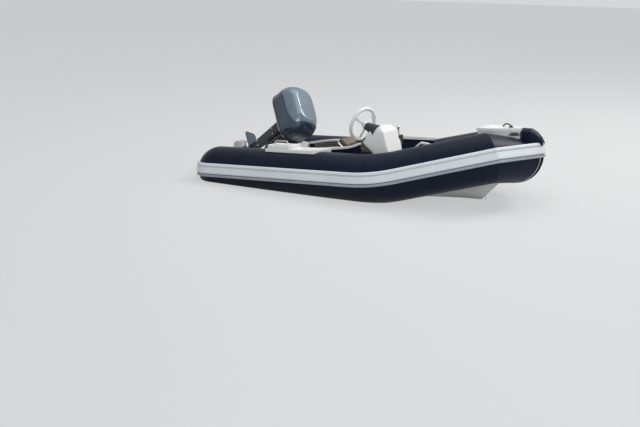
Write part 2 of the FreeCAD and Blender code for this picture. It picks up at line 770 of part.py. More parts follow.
def make_hull():
    """The V-bottom moulding from the transom to the stem, closed by the floor above."""
    keel = float(size.keel_z)
    flat = float(size.keel_flat)
    top_z = float(size.hull_top_z)
    chine_y = float(size.chine_y)
    chine_z = float(size.chine_z)
    top_y = float(size.hull_top_y)
    aft = float(size.hull_aft_x) + float(size.transom_thickness)
    # station: keel x, keel z, chine x, half chine, chine z, top x, half top, top z
    stations = [
        (aft, keel, aft, chine_y, chine_z, aft, top_y, top_z),
        (250, keel, 250, chine_y - 5, chine_z + 8, 250, top_y, top_z),
        (780, keel + 10, 780, 345, 66, 780, 405, 172),
        (1060, keel + 33, 1060, 222, 128, 1060, 285, 258),
        (1190, keel + 38, 1235, 112, 130, 1280, 190, 305),
        (1395, 128, 1435, 9, 178, 1475, 10, 228),
    ]
    wires = []
    for keel_x, keel_z, chine_x, half_chine, chine, top_x, half_top, top in stations:
        narrow = min(flat, half_chine)
        wires.append(polygon_wire([
            Vector(keel_x, -narrow, keel_z),
            Vector(keel_x, narrow, keel_z),
            Vector(chine_x, half_chine, chine),
            Vector(top_x, half_top, top),
            Vector(top_x, -half_top, top),
            Vector(chine_x, -half_chine, chine),
        ]))
    raw = from_shape("HullRaw", Part.makeLoft(wires, True, True))
    well = padded_body("CockpitWell", "XY_Plane", [
        (size.hull_aft_x, -size.floor_half_aft - 120),
        (as_size(450), -size.floor_half_aft - 120),
        (size.bow_deck_aft_x, as_size(-370)),
        (size.bow_deck_aft_x, as_size(370)),
        (as_size(450), size.floor_half_aft + 120),
        (size.hull_aft_x, size.floor_half_aft + 120),
    ], as_size(300), False)
    place(well, 0, 0, size.hull_top_z)
    pocket = block("BowPocket", size.bow_deck_aft_x - 1, -size.bow_deck_half_width - GAP,
                   size.bow_deck_top_z - size.bow_deck_thickness - GAP,
                   size.bow_deck_front_x - size.bow_deck_aft_x + 1 + GAP, size.bow_deck_half_width * 2 + 2 * GAP, 300)
    both = fuse("HullHollows", well, pocket)
    return sub_part(off_tubes("Hull", cut("HullWithWell", raw, both)), "hull")


def make_floor():
    """The cockpit floor between the tubes, from the transom to the bow deck."""
    front = size.hull_aft_x + size.transom_thickness
    fore = size.floor_half_fore
    corners = [
        (front, -size.floor_half_aft),
        (as_size(300), -size.floor_half_aft),
        (as_size(780), -fore - 128),
        (size.bow_deck_aft_x, -fore),
        (size.bow_deck_aft_x, fore),
        (as_size(780), fore + 128),
        (as_size(300), size.floor_half_aft),
        (front, size.floor_half_aft),
    ]
    body = padded_body("FloorRaw", "XY_Plane", corners, size.floor_thickness, False)
    place(body, 0, 0, size.hull_top_z)
    return sub_part(off_tubes("Floor", body), "cockpit_floor")


def make_transom():
    """The transom board, trimmed to the tubes, with wear plates where the outboard clamps."""
    side = size.transom_half_width
    corners = [
        (-size.keel_flat, size.keel_z),
        (size.keel_flat, size.keel_z),
        (size.chine_y, size.chine_z),
        (size.hull_top_y, size.hull_top_z),
        (side, size.transom_top_z - 50),
        (as_size(290), size.transom_top_z),
        (as_size(-290), size.transom_top_z),
        (-side, size.transom_top_z - 50),
        (-size.hull_top_y, size.hull_top_z),
        (-size.chine_y, size.chine_z),
    ]
    body = padded_body("TransomRaw", "YZ_Plane", corners, size.transom_thickness, False)
    place(body, size.hull_aft_x, 0, 0)
    sub_part(off_tubes("Transom", body), "transom")
    half = size.transom_pad_half_width
    low = size.transom_top_z - size.transom_pad_height
    front = size.hull_aft_x + size.transom_thickness
    plates = [
        block("WearPlateFront", front, -half, low, size.transom_pad_thickness, half * 2,
              size.transom_pad_height),
        block("WearPlateBack", size.hull_aft_x - size.transom_pad_thickness, -half, low,
              size.transom_pad_thickness, half * 2, size.transom_pad_height),
    ]
    sub_part(fuse("WearPlates", *plates), "transom_wear_plates")


def make_side_decks():
    """The two-tier white boarding pad that sits on the starboard tube, with its bent handle."""
    top = size.tube_axis_z + size.tube_radius
    aft = size.side_deck_aft_x
    front = aft + size.side_deck_length
    lower = [
        (aft, -size.side_deck_outer_y),
        (front, -size.side_deck_outer_y),
        (front + 70, -size.side_deck_inner_y - 60),
        (front + 70, -size.side_deck_inner_y),
        (aft, -size.side_deck_inner_y),
    ]
    tier = padded_body("SideDeckLower", "XY_Plane", lower, size.side_deck_rise + 14, False)
    place(tier, 0, 0, top - 14)
    step = size.side_deck_step
    upper_front = aft + size.side_deck_upper_length
    upper = [
        (aft + 10, -size.side_deck_outer_y + step),
        (upper_front - 25, -size.side_deck_outer_y + step),
        (upper_front, -size.side_deck_outer_y + step + 25),
        (upper_front, -size.side_deck_inner_y - 14),
        (aft + 10, -size.side_deck_inner_y - 14),
    ]
    rise = size.side_deck_upper_rise - size.side_deck_rise
    second = padded_body("SideDeckUpper", "XY_Plane", upper, rise, False)
    place(second, 0, 0, top + size.side_deck_rise)
    starboard = cut("SideDeckStarboard", fuse("SideDeckTiers", tier, second), clear_starboard)
    sub_part(starboard, "boarding_pad")
    start = Vector(float(aft) + 75, -float(size.side_deck_outer_y) + float(step) + 40,
                   float(top + size.side_deck_upper_rise))
    handle = from_shape("HandleStarboard", bail_shape(start, FORWARD, float(size.handle_length),
                                                      float(size.handle_height),
                                                      float(size.handle_rod), 34))
    sub_part(handle, "boarding_handle")


def bail_shape(start, way, length, height, radius, bend):
    """A bent rod that rises, runs along a direction and comes down again."""
    corners = [start, start + UP * height, start + way * length + UP * height, start + way * length]
    return bent_rod(corners, radius, bend)


def bent_rod(corners, radius, bend):
    """A round rod along straight runs that are joined by arcs of one radius."""
    pieces = []
    begin = corners[0]
    for before, corner, after in zip(corners, corners[1:], corners[2:]):
        way_in = (corner - before).normalize()
        way_out = (after - corner).normalize()
        angle = way_in.getAngle(way_out)
        tangent = bend * math.tan(angle / 2)
        axis = way_in.cross(way_out).normalize()
        arc_start = corner - way_in * tangent
        disc = Part.Face(Part.Wire(Part.makeCircle(radius, arc_start, way_in)))
        centre = arc_start + axis.cross(way_in) * bend
        pieces.append(Part.makeCylinder(radius, (arc_start - begin).Length, begin, way_in))
        pieces.append(disc.revolve(centre, axis, math.degrees(angle)))
        begin = corner + way_out * tangent
    last = corners[-1] - begin
    pieces.append(Part.makeCylinder(radius, last.Length, begin, last.normalize()))
    return pieces[0].fuse(pieces[1:]).removeSplitter()


# Bow


def make_bow():
    """Bow deck between the tubes, the raised step with its locker, hatch and fittings."""
    deck = padded_body("BowDeckRaw", "XY_Plane", [
        (size.bow_deck_aft_x, -size.bow_deck_half_width),
        (size.bow_deck_front_x, as_size(-120)),
        (size.bow_deck_front_x, as_size(120)),
        (size.bow_deck_aft_x, size.bow_deck_half_width),
    ], size.bow_deck_thickness, False)
    place(deck, 0, 0, size.bow_deck_top_z - size.bow_deck_thickness)
    hull_raw = doc.getObject("HullRaw")
    sub_part(off_tubes("BowDeck", deck), "bow_deck")

    plan = [
        (size.step_aft_x, -size.step_half_width),
        (size.step_shoulder_x, -size.step_half_width),
        (size.step_front_x, -size.step_front_half_width),
        (size.step_front_x, size.step_front_half_width),
        (size.step_shoulder_x, size.step_half_width),
        (size.step_aft_x, size.step_half_width),
    ]
    height = size.step_top_z - size.step_base_z
    outer = padded_body("StepOuter", "XY_Plane", plan, height, False)
    place(outer, 0, 0, size.step_base_z)
    wall = size.locker_wall
    inner_plan = [
        (size.step_aft_x + wall, -size.step_half_width + wall),
        (size.step_shoulder_x, -size.step_half_width + wall),
        (size.step_front_x - 40, -size.step_front_half_width),
        (size.step_front_x - 40, size.step_front_half_width),
        (size.step_shoulder_x, size.step_half_width - wall),
        (size.step_aft_x + wall, size.step_half_width - wall),
    ]
    hollow = padded_body("StepHollow", "XY_Plane", inner_plan, size.locker_depth + 10, False)
    place(hollow, 0, 0, size.step_top_z - size.locker_depth)
    sub_part(off_tubes("BowStep", cut("StepShell", outer, hollow)), "bow_step")

    lip = size.hatch_overhang
    lid_plan = [
        (size.step_aft_x - lip, -size.step_half_width - lip),
        (size.step_shoulder_x, -size.step_half_width - lip),
        (size.step_front_x + lip, -size.step_front_half_width - lip),
        (size.step_front_x + lip, size.step_front_half_width + lip),
        (size.step_shoulder_x, size.step_half_width + lip),
        (size.step_aft_x - lip, size.step_half_width + lip),
    ]
    hatch = padded_body("HatchPlate", "XY_Plane", lid_plan, size.hatch_thickness, False)
    barrels = [rod(f"HatchBarrel{side}", size.hinge_radius, 60, size.step_aft_x - lip, 30 * side - 30 + side * 50, 0, PORT)
               for side in (-1, 1)]
    sub_part(fuse("Hatch", hatch, *barrels), "bow_hatch",
             Placement(Vector(0, 0, float(size.step_top_z + size.hatch_gap)), Rotation()))

    strakes = fuse("BothStrakes", doc.getObject("StrakeStarboard"), doc.getObject("StrakePort"))
    fairing = off_tubes("FairingOnTubes", from_shape("FairingRaw", fairing_shape()))
    sub_part(cut("NoseFairing", fairing, strakes), "nose_fairing")

    latch_top = size.step_top_z + size.hatch_gap + size.hatch_thickness
    latch = fuse("Latch",
                 block("LatchPlate", size.step_front_x - 120, -40, latch_top, 34, 60, 5),
                 block("LatchGrip", size.step_front_x - 110, -30, latch_top + 5, 12, 40, 14))
    sub_part(latch, "hatch_latch")

    cleat = cleat_shape()
    shoulder = Vector(float(size.step_shoulder_x), -float(size.step_half_width), 0)
    corner = Vector(float(size.step_front_x), -float(size.step_front_half_width), 0)
    slant = (corner - shoulder).normalize()
    seat = shoulder + (corner - shoulder) * float(size.cleat_share)
    seat = seat + slant.cross(UP) * GAP + UP * float(size.step_top_z - size.cleat_drop)
    sub_part(from_shape("BowCleat", cleat), "bow_cleat",
             Placement(seat, Rotation(slant, UP, slant.cross(UP), "ZXY")))

    eye_centre = Vector(float(size.bow_eye_x), 0, float(size.bow_eye_z))
    eye_ring = from_shape("BowEyeRing", Part.makeTorus(20, 5, eye_centre, PORT))
    sub_part(cut("BowEye", eye_ring, hull_raw), "bow_eye")


def fairing_shape():
    """A rounded ridge on the centreline that falls away towards the tip of the nose."""
    aft = float(size.fairing_aft_x)
    front = float(size.fairing_front_x)
    top = float(size.fairing_top_z)
    low = float(size.fairing_front_z)
    half = float(size.fairing_half_width)
    base = float(size.nose_z) + 90
    run = front - aft
    # share of the run, top, share of the half width
    rows = [(0.0, top, 1.0), (0.42, top - 2, 0.95), (0.68, low + 84, 0.85), (0.88, low + 42, 0.68), (1.0, low, 0.5)]
    wires = []
    for share, height, narrow in rows:
        x = aft + run * share
        width = half * narrow
        shoulder = height - 0.55 * width
        wires.append(Part.Wire([
            Part.makeLine(Vector(x, width, base), Vector(x, width, shoulder)),
            Part.Arc(Vector(x, width, shoulder), Vector(x, 0, height), Vector(x, -width, shoulder)).toShape(),
            Part.makeLine(Vector(x, -width, shoulder), Vector(x, -width, base)),
            Part.makeLine(Vector(x, -width, base), Vector(x, width, base)),
        ]))
    return Part.makeLoft(wires, True, True)


def cleat_shape():
    """A small horn cleat on a base plate, standing on its base."""
    base = Part.makeBox(70, 30, 5, Vector(-35, -15, 0))
    posts = [Part.makeCylinder(7, 24, Vector(offset, 0, 4), UP) for offset in (-16, 16)]
    horn = Part.makeCylinder(6, 110, Vector(-55, 0, 30), FORWARD)
    return base.fuse(posts + [horn]).removeSplitter()


# Console and steering


def make_console():
    """A moulded console: side, plan and front outlines crossed, then its foot flange."""
    floor = size.hull_top_z + size.floor_thickness
    side = [
        (size.console_aft_x, size.console_dash_z),
        (size.console_aft_x + 45, size.console_dash_z - 36),
        (size.console_foot_x - 35, size.console_knee_z),
        (size.console_foot_x, floor),
        (size.console_front_x, floor),
        (size.console_front_x - 12, floor + 130),
        (size.console_shoulder_x + 45, size.console_top_z - 60),
        (size.console_shoulder_x, size.console_top_z - 10),
        (size.console_top_x + 20, size.console_top_z),
        (size.console_top_x - 20, size.console_top_z - 18),
    ]
    side_body = padded_body("ConsoleSide", "XZ_Plane", side, size.console_half_width * 2)
    place(side_body, 0, size.console_y, 0)
    round_plan = from_shape("ConsolePlan", console_plan())
    round_front = from_shape("ConsoleFront", console_front())
    moulding = common("ConsoleMoulding", side_body, round_plan, round_front)
    flange = size.console_flange
    foot = padded_body("ConsoleFoot", "XY_Plane", [
        (size.console_foot_x - flange, -size.console_half_width - flange),
        (size.console_front_x - 90, -size.console_half_width - flange),
        (size.console_front_x + flange, -size.console_half_width + 90),
        (size.console_front_x + flange, size.console_half_width - 90),
        (size.console_front_x - 90, size.console_half_width + flange),
        (size.console_foot_x - flange, size.console_half_width + flange),
    ], size.console_flange_height, False)
    place(foot, 0, size.console_y, floor)
    sub_part(off_tubes("Console", fuse("ConsoleWithFoot", moulding, foot)), "console")


def console_plan():
    """The console seen from above, with large rounded front corners, as a tall prism."""
    aft = float(size.console_aft_x)
    front = float(size.console_front_x)
    half = float(size.console_half_width)
    radius = float(size.console_nose_radius)
    middle = float(size.console_y)
    slant = radius * math.sqrt(0.5)
    corner = front - radius
    edges = [
        Part.makeLine(Vector(aft, -half, 0), Vector(corner, -half, 0)),
        Part.Arc(Vector(corner, -half, 0), Vector(corner + slant, -half + radius - slant, 0),
                 Vector(front, -half + radius, 0)).toShape(),
        Part.makeLine(Vector(front, -half + radius, 0), Vector(front, half - radius, 0)),
        Part.Arc(Vector(front, half - radius, 0), Vector(corner + slant, half - radius + slant, 0),
                 Vector(corner, half, 0)).toShape(),
        Part.makeLine(Vector(corner, half, 0), Vector(aft, half, 0)),
        Part.makeLine(Vector(aft, half, 0), Vector(aft, -half, 0)),
    ]
    prism = Part.Face(Part.Wire(edges)).extrude(Vector(0, 0, 1000))
    prism.translate(Vector(0, middle, 0))
    return prism


def console_front():
    """The console seen from the front, narrowing upwards to rounded shoulders, as a long prism."""
    half = float(size.console_half_width)
    top = float(size.console_top_z)
    radius = float(size.console_crown_radius)
    middle = float(size.console_y)
    narrow = half - 22
    slant = radius * math.sqrt(0.5)
    edges = [
        Part.makeLine(Vector(0, -half, 0), Vector(0, -half, top / 2)),
        Part.makeLine(Vector(0, -half, top / 2), Vector(0, -narrow, top - radius)),
        Part.Arc(Vector(0, -narrow, top - radius), Vector(0, -narrow + radius - slant, top - radius + slant),
                 Vector(0, -narrow + radius, top)).toShape(),
        Part.makeLine(Vector(0, -narrow + radius, top), Vector(0, narrow - radius, top)),
        Part.Arc(Vector(0, narrow - radius, top), Vector(0, narrow - radius + slant, top - radius + slant),
                 Vector(0, narrow, top - radius)).toShape(),
        Part.makeLine(Vector(0, narrow, top - radius), Vector(0, half, top / 2)),
        Part.makeLine(Vector(0, half, top / 2), Vector(0, half, 0)),
        Part.makeLine(Vector(0, half, 0), Vector(0, -half, 0)),
    ]
    prism = Part.Face(Part.Wire(edges)).extrude(Vector(1500, 0, 0))
    prism.translate(Vector(-500, middle, 0))
    return prism


def column_placement():
    """The steering column: its own Z points from the console to the driver."""
    rake = math.radians(float(size.wheel_rake))
    yaw = math.radians(float(size.wheel_yaw))
    to_driver = Vector(-math.cos(rake) * math.cos(yaw), math.cos(rake) * math.sin(yaw), math.sin(rake))
    centre = Vector(float(size.wheel_x), float(size.wheel_y), float(size.wheel_z))
    across = UP.cross(to_driver).normalize()
    upright = to_driver.cross(across)
    return Placement(centre, Rotation(across, upright, to_driver, "ZXY"))


def make_steering():
    """Helm housing on the dash, and the wheel with its hub, spokes and shaft."""
    column = column_placement()
    housing_top = size.wheel_dish + size.wheel_hub_length + 5
    cone = doc.addObject("Part::Cone", "HelmCone")
    bind(cone, Radius1=size.helm_radius, Radius2=size.helm_front_radius, Height=size.helm_length)
    place(cone, 0, 0, -(housing_top + size.helm_length))
    bore = rod("HelmBore", size.shaft_radius + size.running_gap, size.shaft_length + 10, 0, 0,
               -(housing_top + size.shaft_length + 10))
    housing = cut("HelmHousingPart", cone, bore)
    seated = cut("HelmHousing", housing, console_tool(column))
    sub_part(seated, "helm_housing", column)

    rim = doc.addObject("Part::Torus", "WheelRim")
    bind(rim, Radius1=size.wheel_radius, Radius2=size.wheel_rim)
    hub = rod("WheelHub", size.wheel_hub_radius, size.wheel_hub_length, 0, 0,
              -(size.wheel_dish + size.wheel_hub_length))
    shaft = rod("WheelShaft", size.shaft_radius, size.shaft_length + 6, 0, 0,
                -(housing_top + size.shaft_length))
    spokes = [from_shape(f"WheelSpoke{index}", spoke_shape(index)) for index in range(3)]
    sub_part(fuse("Wheel", rim, hub, shaft, *spokes), "steering_wheel", column)


def console_tool(column):
    """The console's body, moved into the frame of the steering column."""
    tool = doc.addObject("Part::Feature", "ConsoleTool")
    doc.recompute()
    shape = doc.getObject("ConsoleWithFoot").Shape.copy()
    shape.Placement = column.inverse()
    tool.Shape = shape
    return tool


def spoke_shape(index):
    """One dished spoke from the hub to the rim, narrower at the rim."""
    radius = float(size.wheel_radius)
    width = float(size.wheel_spoke_width)
    thick = float(size.wheel_spoke_thickness)
    depth = float(size.wheel_dish) + 14
    inner = float(size.wheel_hub_radius) - 8
    near = polygon_wire([
        Vector(inner, -width / 2, -depth - thick), Vector(inner, width / 2, -depth - thick),
        Vector(inner, width / 2, -depth), Vector(inner, -width / 2, -depth),
    ])
    far = polygon_wire([
        Vector(radius, -width / 3, -thick / 2), Vector(radius, width / 3, -thick / 2),
        Vector(radius, width / 3, thick / 2), Vector(radius, -width / 3, thick / 2),
    ])
    spoke = Part.makeLoft([near, far], True, True)
    spoke.rotate(ORIGIN, UP, 30 + 120 * index)
    return spoke


def make_throttle():
    """Single-lever control box on the port side of the console."""
    side = size.console_y + size.console_half_width
    box = block("ThrottleBlock", size.throttle_x, side - 40, size.throttle_z - size.throttle_height,
                size.throttle_length, size.throttle_width + 40, size.throttle_height)
    moulding = doc.getObject("ConsoleWithFoot")
    sub_part(cut("ThrottleBox", box, moulding), "throttle_box")
    pivot_x = size.throttle_x + size.throttle_length / 2
    pivot_z = size.throttle_z - size.throttle_height / 2
    outer = side + size.throttle_width
    boss = rod("LeverBoss", 20, 16, pivot_x, outer, pivot_z, PORT)
    stem = rod("LeverStem", size.lever_radius, size.lever_length, pivot_x, outer + 12, pivot_z)
    knob = doc.addObject("Part::Sphere", "LeverKnob")
    bind(knob, Radius=size.knob_radius)
    place(knob, pivot_x, outer + 12, pivot_z + size.lever_length)
    sub_part(fuse("Lever", boss, stem, knob), "throttle_lever")


# Seats


def make_helm_seat():
    """Seat box, cushion and the folding backrest on two bent arms."""
    floor = size.hull_top_z + size.floor_thickness
    half = size.seat_half_width
    aft = size.seat_aft_x
    box = padded_body("SeatBox", "XZ_Plane", [
        (aft, floor),
        (aft + size.seat_length - 20, floor),
        (aft + size.seat_length, size.seat_box_top_z - 60),
        (aft + size.seat_length, size.seat_box_top_z),
        (aft, size.seat_box_top_z),
    ], half * 2)
    sub_part(box, "helm_seat_box", Placement(Vector(0, float(size.seat_y), 0), Rotation()))
    cushion = slab("SeatCushion", size.seat_length - 8, half * 2 - 8, size.cushion_thickness)
    sub_part(cushion, "helm_seat_cushion", Placement(
        Vector(float(aft) + 4, float(size.seat_y - half) + 4, float(size.seat_box_top_z) + GAP), Rotation()))

    pivot = Vector(float(size.backrest_pivot_x), float(size.seat_y), float(size.backrest_pivot_z))
    lean = math.radians(float(size.backrest_lean))
    rise = Vector(-math.sin(lean), 0, math.cos(lean))
    arm = float(size.backrest_half_width)
    length = float(size.backrest_length)
    corners = [
        pivot - PORT * arm,
        pivot - PORT * arm + rise * length,
        pivot + PORT * arm + rise * length,
        pivot + PORT * arm,
    ]
    frame = bent_rod(corners, float(size.backrest_rod), 45)
    ends = []
    for side in (-1, 1):
        foot = pivot + PORT * (side * arm)
        ends.append(Part.makeCylinder(16, 24, foot - PORT * 12, PORT))
    frame = frame.fuse(ends).removeSplitter()
    sub_part(from_shape("BackrestFrame", frame), "backrest_frame")

    pad_height = float(size.backrest_pad_height)
    pad_thick = float(size.backrest_pad_thickness)
    pad = Part.makeBox(pad_thick, 2 * arm - 60, pad_height,
                       Vector(float(size.backrest_rod) + GAP, -arm + 30, -pad_height + 10))
    top = pivot + rise * length
    sub_part(from_shape("BackrestPad", pad), "backrest_pad",
             Placement(top, Rotation(PORT, -float(size.backrest_lean))))

    mounts = []
    for side in (-1, 1):
        y = float(size.seat_y) + side * float(half)
        plate = Part.makeBox(44, 6, 172, Vector(pivot.x - 22, y if side > 0 else y - 6, pivot.z - 152))
        reach = arm - float(half) - 6 - 12
        start = Vector(pivot.x, y + side * 6, pivot.z)
        mounts.append(plate.fuse(Part.makeCylinder(9, reach - 0.5, start, PORT * side)))
    sub_part(from_shape("BackrestMounts", Part.makeCompound(mounts)), "backrest_mounts")


def make_aft_bench():
    """Hollow stowage bench across the cockpit, its hinged lid and its cushion."""
    floor = size.hull_top_z + size.floor_thickness
    half = size.tube_axis_y - size.tube_radius - size.bench_side_gap
    wall = size.bench_wall
    aft = size.bench_aft_x
    outer = block("BenchOuter", aft, -half, floor, size.bench_length, half * 2, size.bench_top_z - floor)
    inner = block("BenchInner", aft + wall, -half + wall, floor + wall, size.bench_length - wall * 2,
                  half * 2 - wall * 2, size.bench_top_z - floor)
    sub_part(cut("Bench", outer, inner), "aft_bench")
    lip = size.lid_lip
    lid = slab("LidPlate", size.bench_length + lip, half * 2, size.lid_thickness)
    starts = (size.lid_barrel_inset, half * 2 - size.lid_barrel_inset_port)
    barrels = [rod(f"LidBarrel{index}", size.hinge_radius, size.lid_barrel_length, size.bench_length + lip, start,
                   0, PORT) for index, start in enumerate(starts)]
    sub_part(fuse("BenchLid", lid, *barrels), "aft_bench_lid", Placement(
        Vector(float(aft), -float(half), float(size.bench_top_z) + 1), Rotation()))
    cushion = slab("BenchCushion", size.bench_length - 16, half * 2 - 16, size.cushion_thickness)
    level = float(size.bench_top_z) + 1 + float(size.lid_thickness) + GAP
    sub_part(cushion, "aft_bench_cushion", Placement(
        Vector(float(aft) + 8, -float(half) + 8, level), Rotation()))


# Outboard


TILT_POINT = Vector(float(size.tilt_axis_x), 0, float(size.tilt_axis_z))
TILTED = Placement(TILT_POINT, Rotation(PORT, float(size.rest_tilt)))
SWIVEL_POINT = Vector(float(size.swivel_x), 0, 0)
STEERED = TILTED.multiply(Placement(SWIVEL_POINT, Rotation(UP, float(size.rest_steer)))).multiply(
    Placement(SWIVEL_POINT * -1, Rotation()))


def make_clamp():
    """Two hooked clamp plates over the transom, tied by the tilt tube."""
    front = float(size.hull_aft_x + size.transom_thickness + size.transom_pad_thickness)
    back = float(size.hull_aft_x - size.transom_pad_thickness)
    top = float(size.transom_top_z)
    reach = float(size.clamp_front_reach)
    plate = float(size.clamp_plate)
    inner = float(size.clamp_inner_y)
    outline_points = [
        Vector(front + reach, 0, float(size.tilt_axis_z) + 8),
        Vector(front + reach, 0, top - 130),
        Vector(front + reach - 16, 0, top - 142),
        Vector(front + reach - 16, 0, top - 20),
        Vector(front + 2, 0, top + 0.5),
        Vector(back, 0, top + 0.5),
        Vector(back, 0, top - float(size.clamp_drop)),
        Vector(back - 22, 0, top - float(size.clamp_drop)),
        Vector(back - 34, 0, top - 60),
        Vector(back - 30, 0, float(size.tilt_axis_z) + 12),
        Vector(back - 14, 0, float(size.tilt_axis_z) + 24),
        Vector(front + reach - 18, 0, float(size.tilt_axis_z) + 24),
    ]
    shapes = []
    for side in (-1, 1):
        start = inner if side > 0 else -inner - plate
        face = Part.Face(polygon_wire(outline_points))
        solid = face.extrude(PORT * plate)
        solid.translate(PORT * start)
        screw_y = side * (inner + plate / 2)
        level = top - 85
        screw_start = Vector(front, screw_y, level)
        pad = Part.makeCylinder(20, 5, screw_start, FORWARD)
        screw = Part.makeCylinder(float(size.clamp_screw_radius), reach + 34, screw_start, FORWARD)
        boss = Part.makeCylinder(13, 24, screw_start + FORWARD * (reach - 22), FORWARD)
        bar = Part.makeCylinder(4, 60, screw_start + FORWARD * (reach + 28) - UP * 30, UP)
        shapes += [solid, pad, screw, boss, bar]
    half = float(size.tilt_tube_length) / 2
    tube = Part.makeCylinder(float(size.tilt_tube_radius), 2 * half, TILT_POINT - PORT * half, PORT)
    whole = tube.fuse(shapes).removeSplitter()
    sub_part(from_shape("ClampBracket", whole), "clamp_bracket")


def make_swivel():
    """The bracket that tilts: a hub on the tilt tube, arms and the steering tube."""
    hub_length = 2 * (float(size.clamp_inner_y) - 3)
    hub = Part.makeCylinder(float(size.swivel_hub_radius), hub_length, PORT * (-hub_length / 2), PORT)
    bottom = float(size.swivel_bottom_z)
    top = float(size.swivel_top_z)
    swivel_x = float(size.swivel_x)
    tube = Part.makeCylinder(float(size.swivel_tube_radius), top - bottom, Vector(swivel_x, 0, bottom), UP)
    # along, half width and height of the arm's ends
    arm = Part.makeLoft([
        polygon_wire([Vector(0, -55, -12), Vector(0, 55, -12), Vector(0, 55, 16), Vector(0, -55, 16)]),
        polygon_wire([Vector(swivel_x, -27, -24), Vector(swivel_x, 27, -24),
                      Vector(swivel_x, 27, top), Vector(swivel_x, -27, top)]),
    ], True, True)
    rib = Part.makeBox(22, 14, 150, Vector(swivel_x + 20, -7, -200))
    solid = hub.fuse([tube, arm, rib])
    bore = Part.makeCylinder(float(size.tilt_tube_radius) + RUNNING, 300, PORT * -150, PORT)
    pin_bore = Part.makeCylinder(float(size.swivel_pin_radius) + RUNNING, 600, Vector(swivel_x, 0, -400), UP)
    solid = solid.cut(bore.fuse(pin_bore)).removeSplitter()
    sub_part(from_shape("SwivelBracket", solid), "swivel_bracket", TILTED)


def rounded_rectangle(x0, x1, half, radius, z):
    """A level wire with rounded corners."""
    slant = radius * (1 - math.sqrt(0.5))
    a, b = x0 + radius, x1 - radius
    c = half - radius
    edges = [
        Part.makeLine(Vector(a, -half, z), Vector(b, -half, z)),
        Part.Arc(Vector(b, -half, z), Vector(x1 - slant, -half + slant, z), Vector(x1, -c, z)).toShape(),
        Part.makeLine(Vector(x1, -c, z), Vector(x1, c, z)),
        Part.Arc(Vector(x1, c, z), Vector(x1 - slant, half - slant, z), Vector(b, half, z)).toShape(),
        Part.makeLine(Vector(b, half, z), Vector(a, half, z)),
        Part.Arc(Vector(a, half, z), Vector(x0 + slant, half - slant, z), Vector(x0, c, z)).toShape(),
        Part.makeLine(Vector(x0, c, z), Vector(x0, -c, z)),
        Part.Arc(Vector(x0, -c, z), Vector(x0 + slant, -half + slant, z), Vector(a, -half, z)).toShape(),
    ]
    return Part.Wire(edges)


def hood_loft(inset):
    """The hood as a loft of level sections, set in all round by inset."""
    aft = float(size.cowl_aft_x)
    front = float(size.cowl_front_x)
    half = float(size.cowl_half_width)
    seam = float(size.cowl_seam_z)
    top = float(size.cowl_top_z)
    rise = top - seam
    # share of the height, set in aft, set in at the front, set in at the sides, corner radius
    rows = [
        (0.0, 8, 8, 5, 120),
        (0.25, 2, 2, 1, 130),
        (0.5, 0, 0, 0, 135),
        (0.8, 26, 34, 24, 130),
        (1.0, 84, 110, 72, 100),
    ]
    wires = []
    for share, back, fore, side, radius in rows:
        z = seam + rise * share - (inset if share == 1.0 else 0)
        wires.append(rounded_rectangle(aft + back + inset, front - fore - inset, half - side - inset,
                                       radius - inset, z))
    return Part.makeLoft(wires, True, False)


def make_cowl():
    """Hollow hood over the lower cowl, and the engine block inside as one plain mass."""
    hood = hood_loft(0).cut(hood_loft(float(size.cowl_wall))).removeSplitter()
    sub_part(from_shape("Hood", hood), "outboard_hood", STEERED)
    seam = float(size.cowl_seam_z)
    low = float(size.pan_bottom_z)
    aft = float(size.cowl_aft_x)
    front = float(size.cowl_front_x)
    half = float(size.cowl_half_width)
    pan = Part.makeLoft([
        rounded_rectangle(aft + 34, front - 30, half - 26, 106, low),
        rounded_rectangle(aft + 16, front - 16, half - 12, 116, low + 0.55 * (seam - low)),
        rounded_rectangle(aft + 12, front - 12, half - 8, 118, seam - GAP),
    ], True, True)
    sub_part(from_shape("LowerCowl", pan), "outboard_lower_cowl", STEERED)
    length = float(size.powerhead_length)
    width = float(size.powerhead_width)
    middle = (aft + front) / 2
    powerhead = Part.makeBox(length, width, float(size.powerhead_height),
                             Vector(middle - length / 2, -width / 2, seam))
    sub_part(from_shape("Powerhead", powerhead), "engine_block", STEERED)


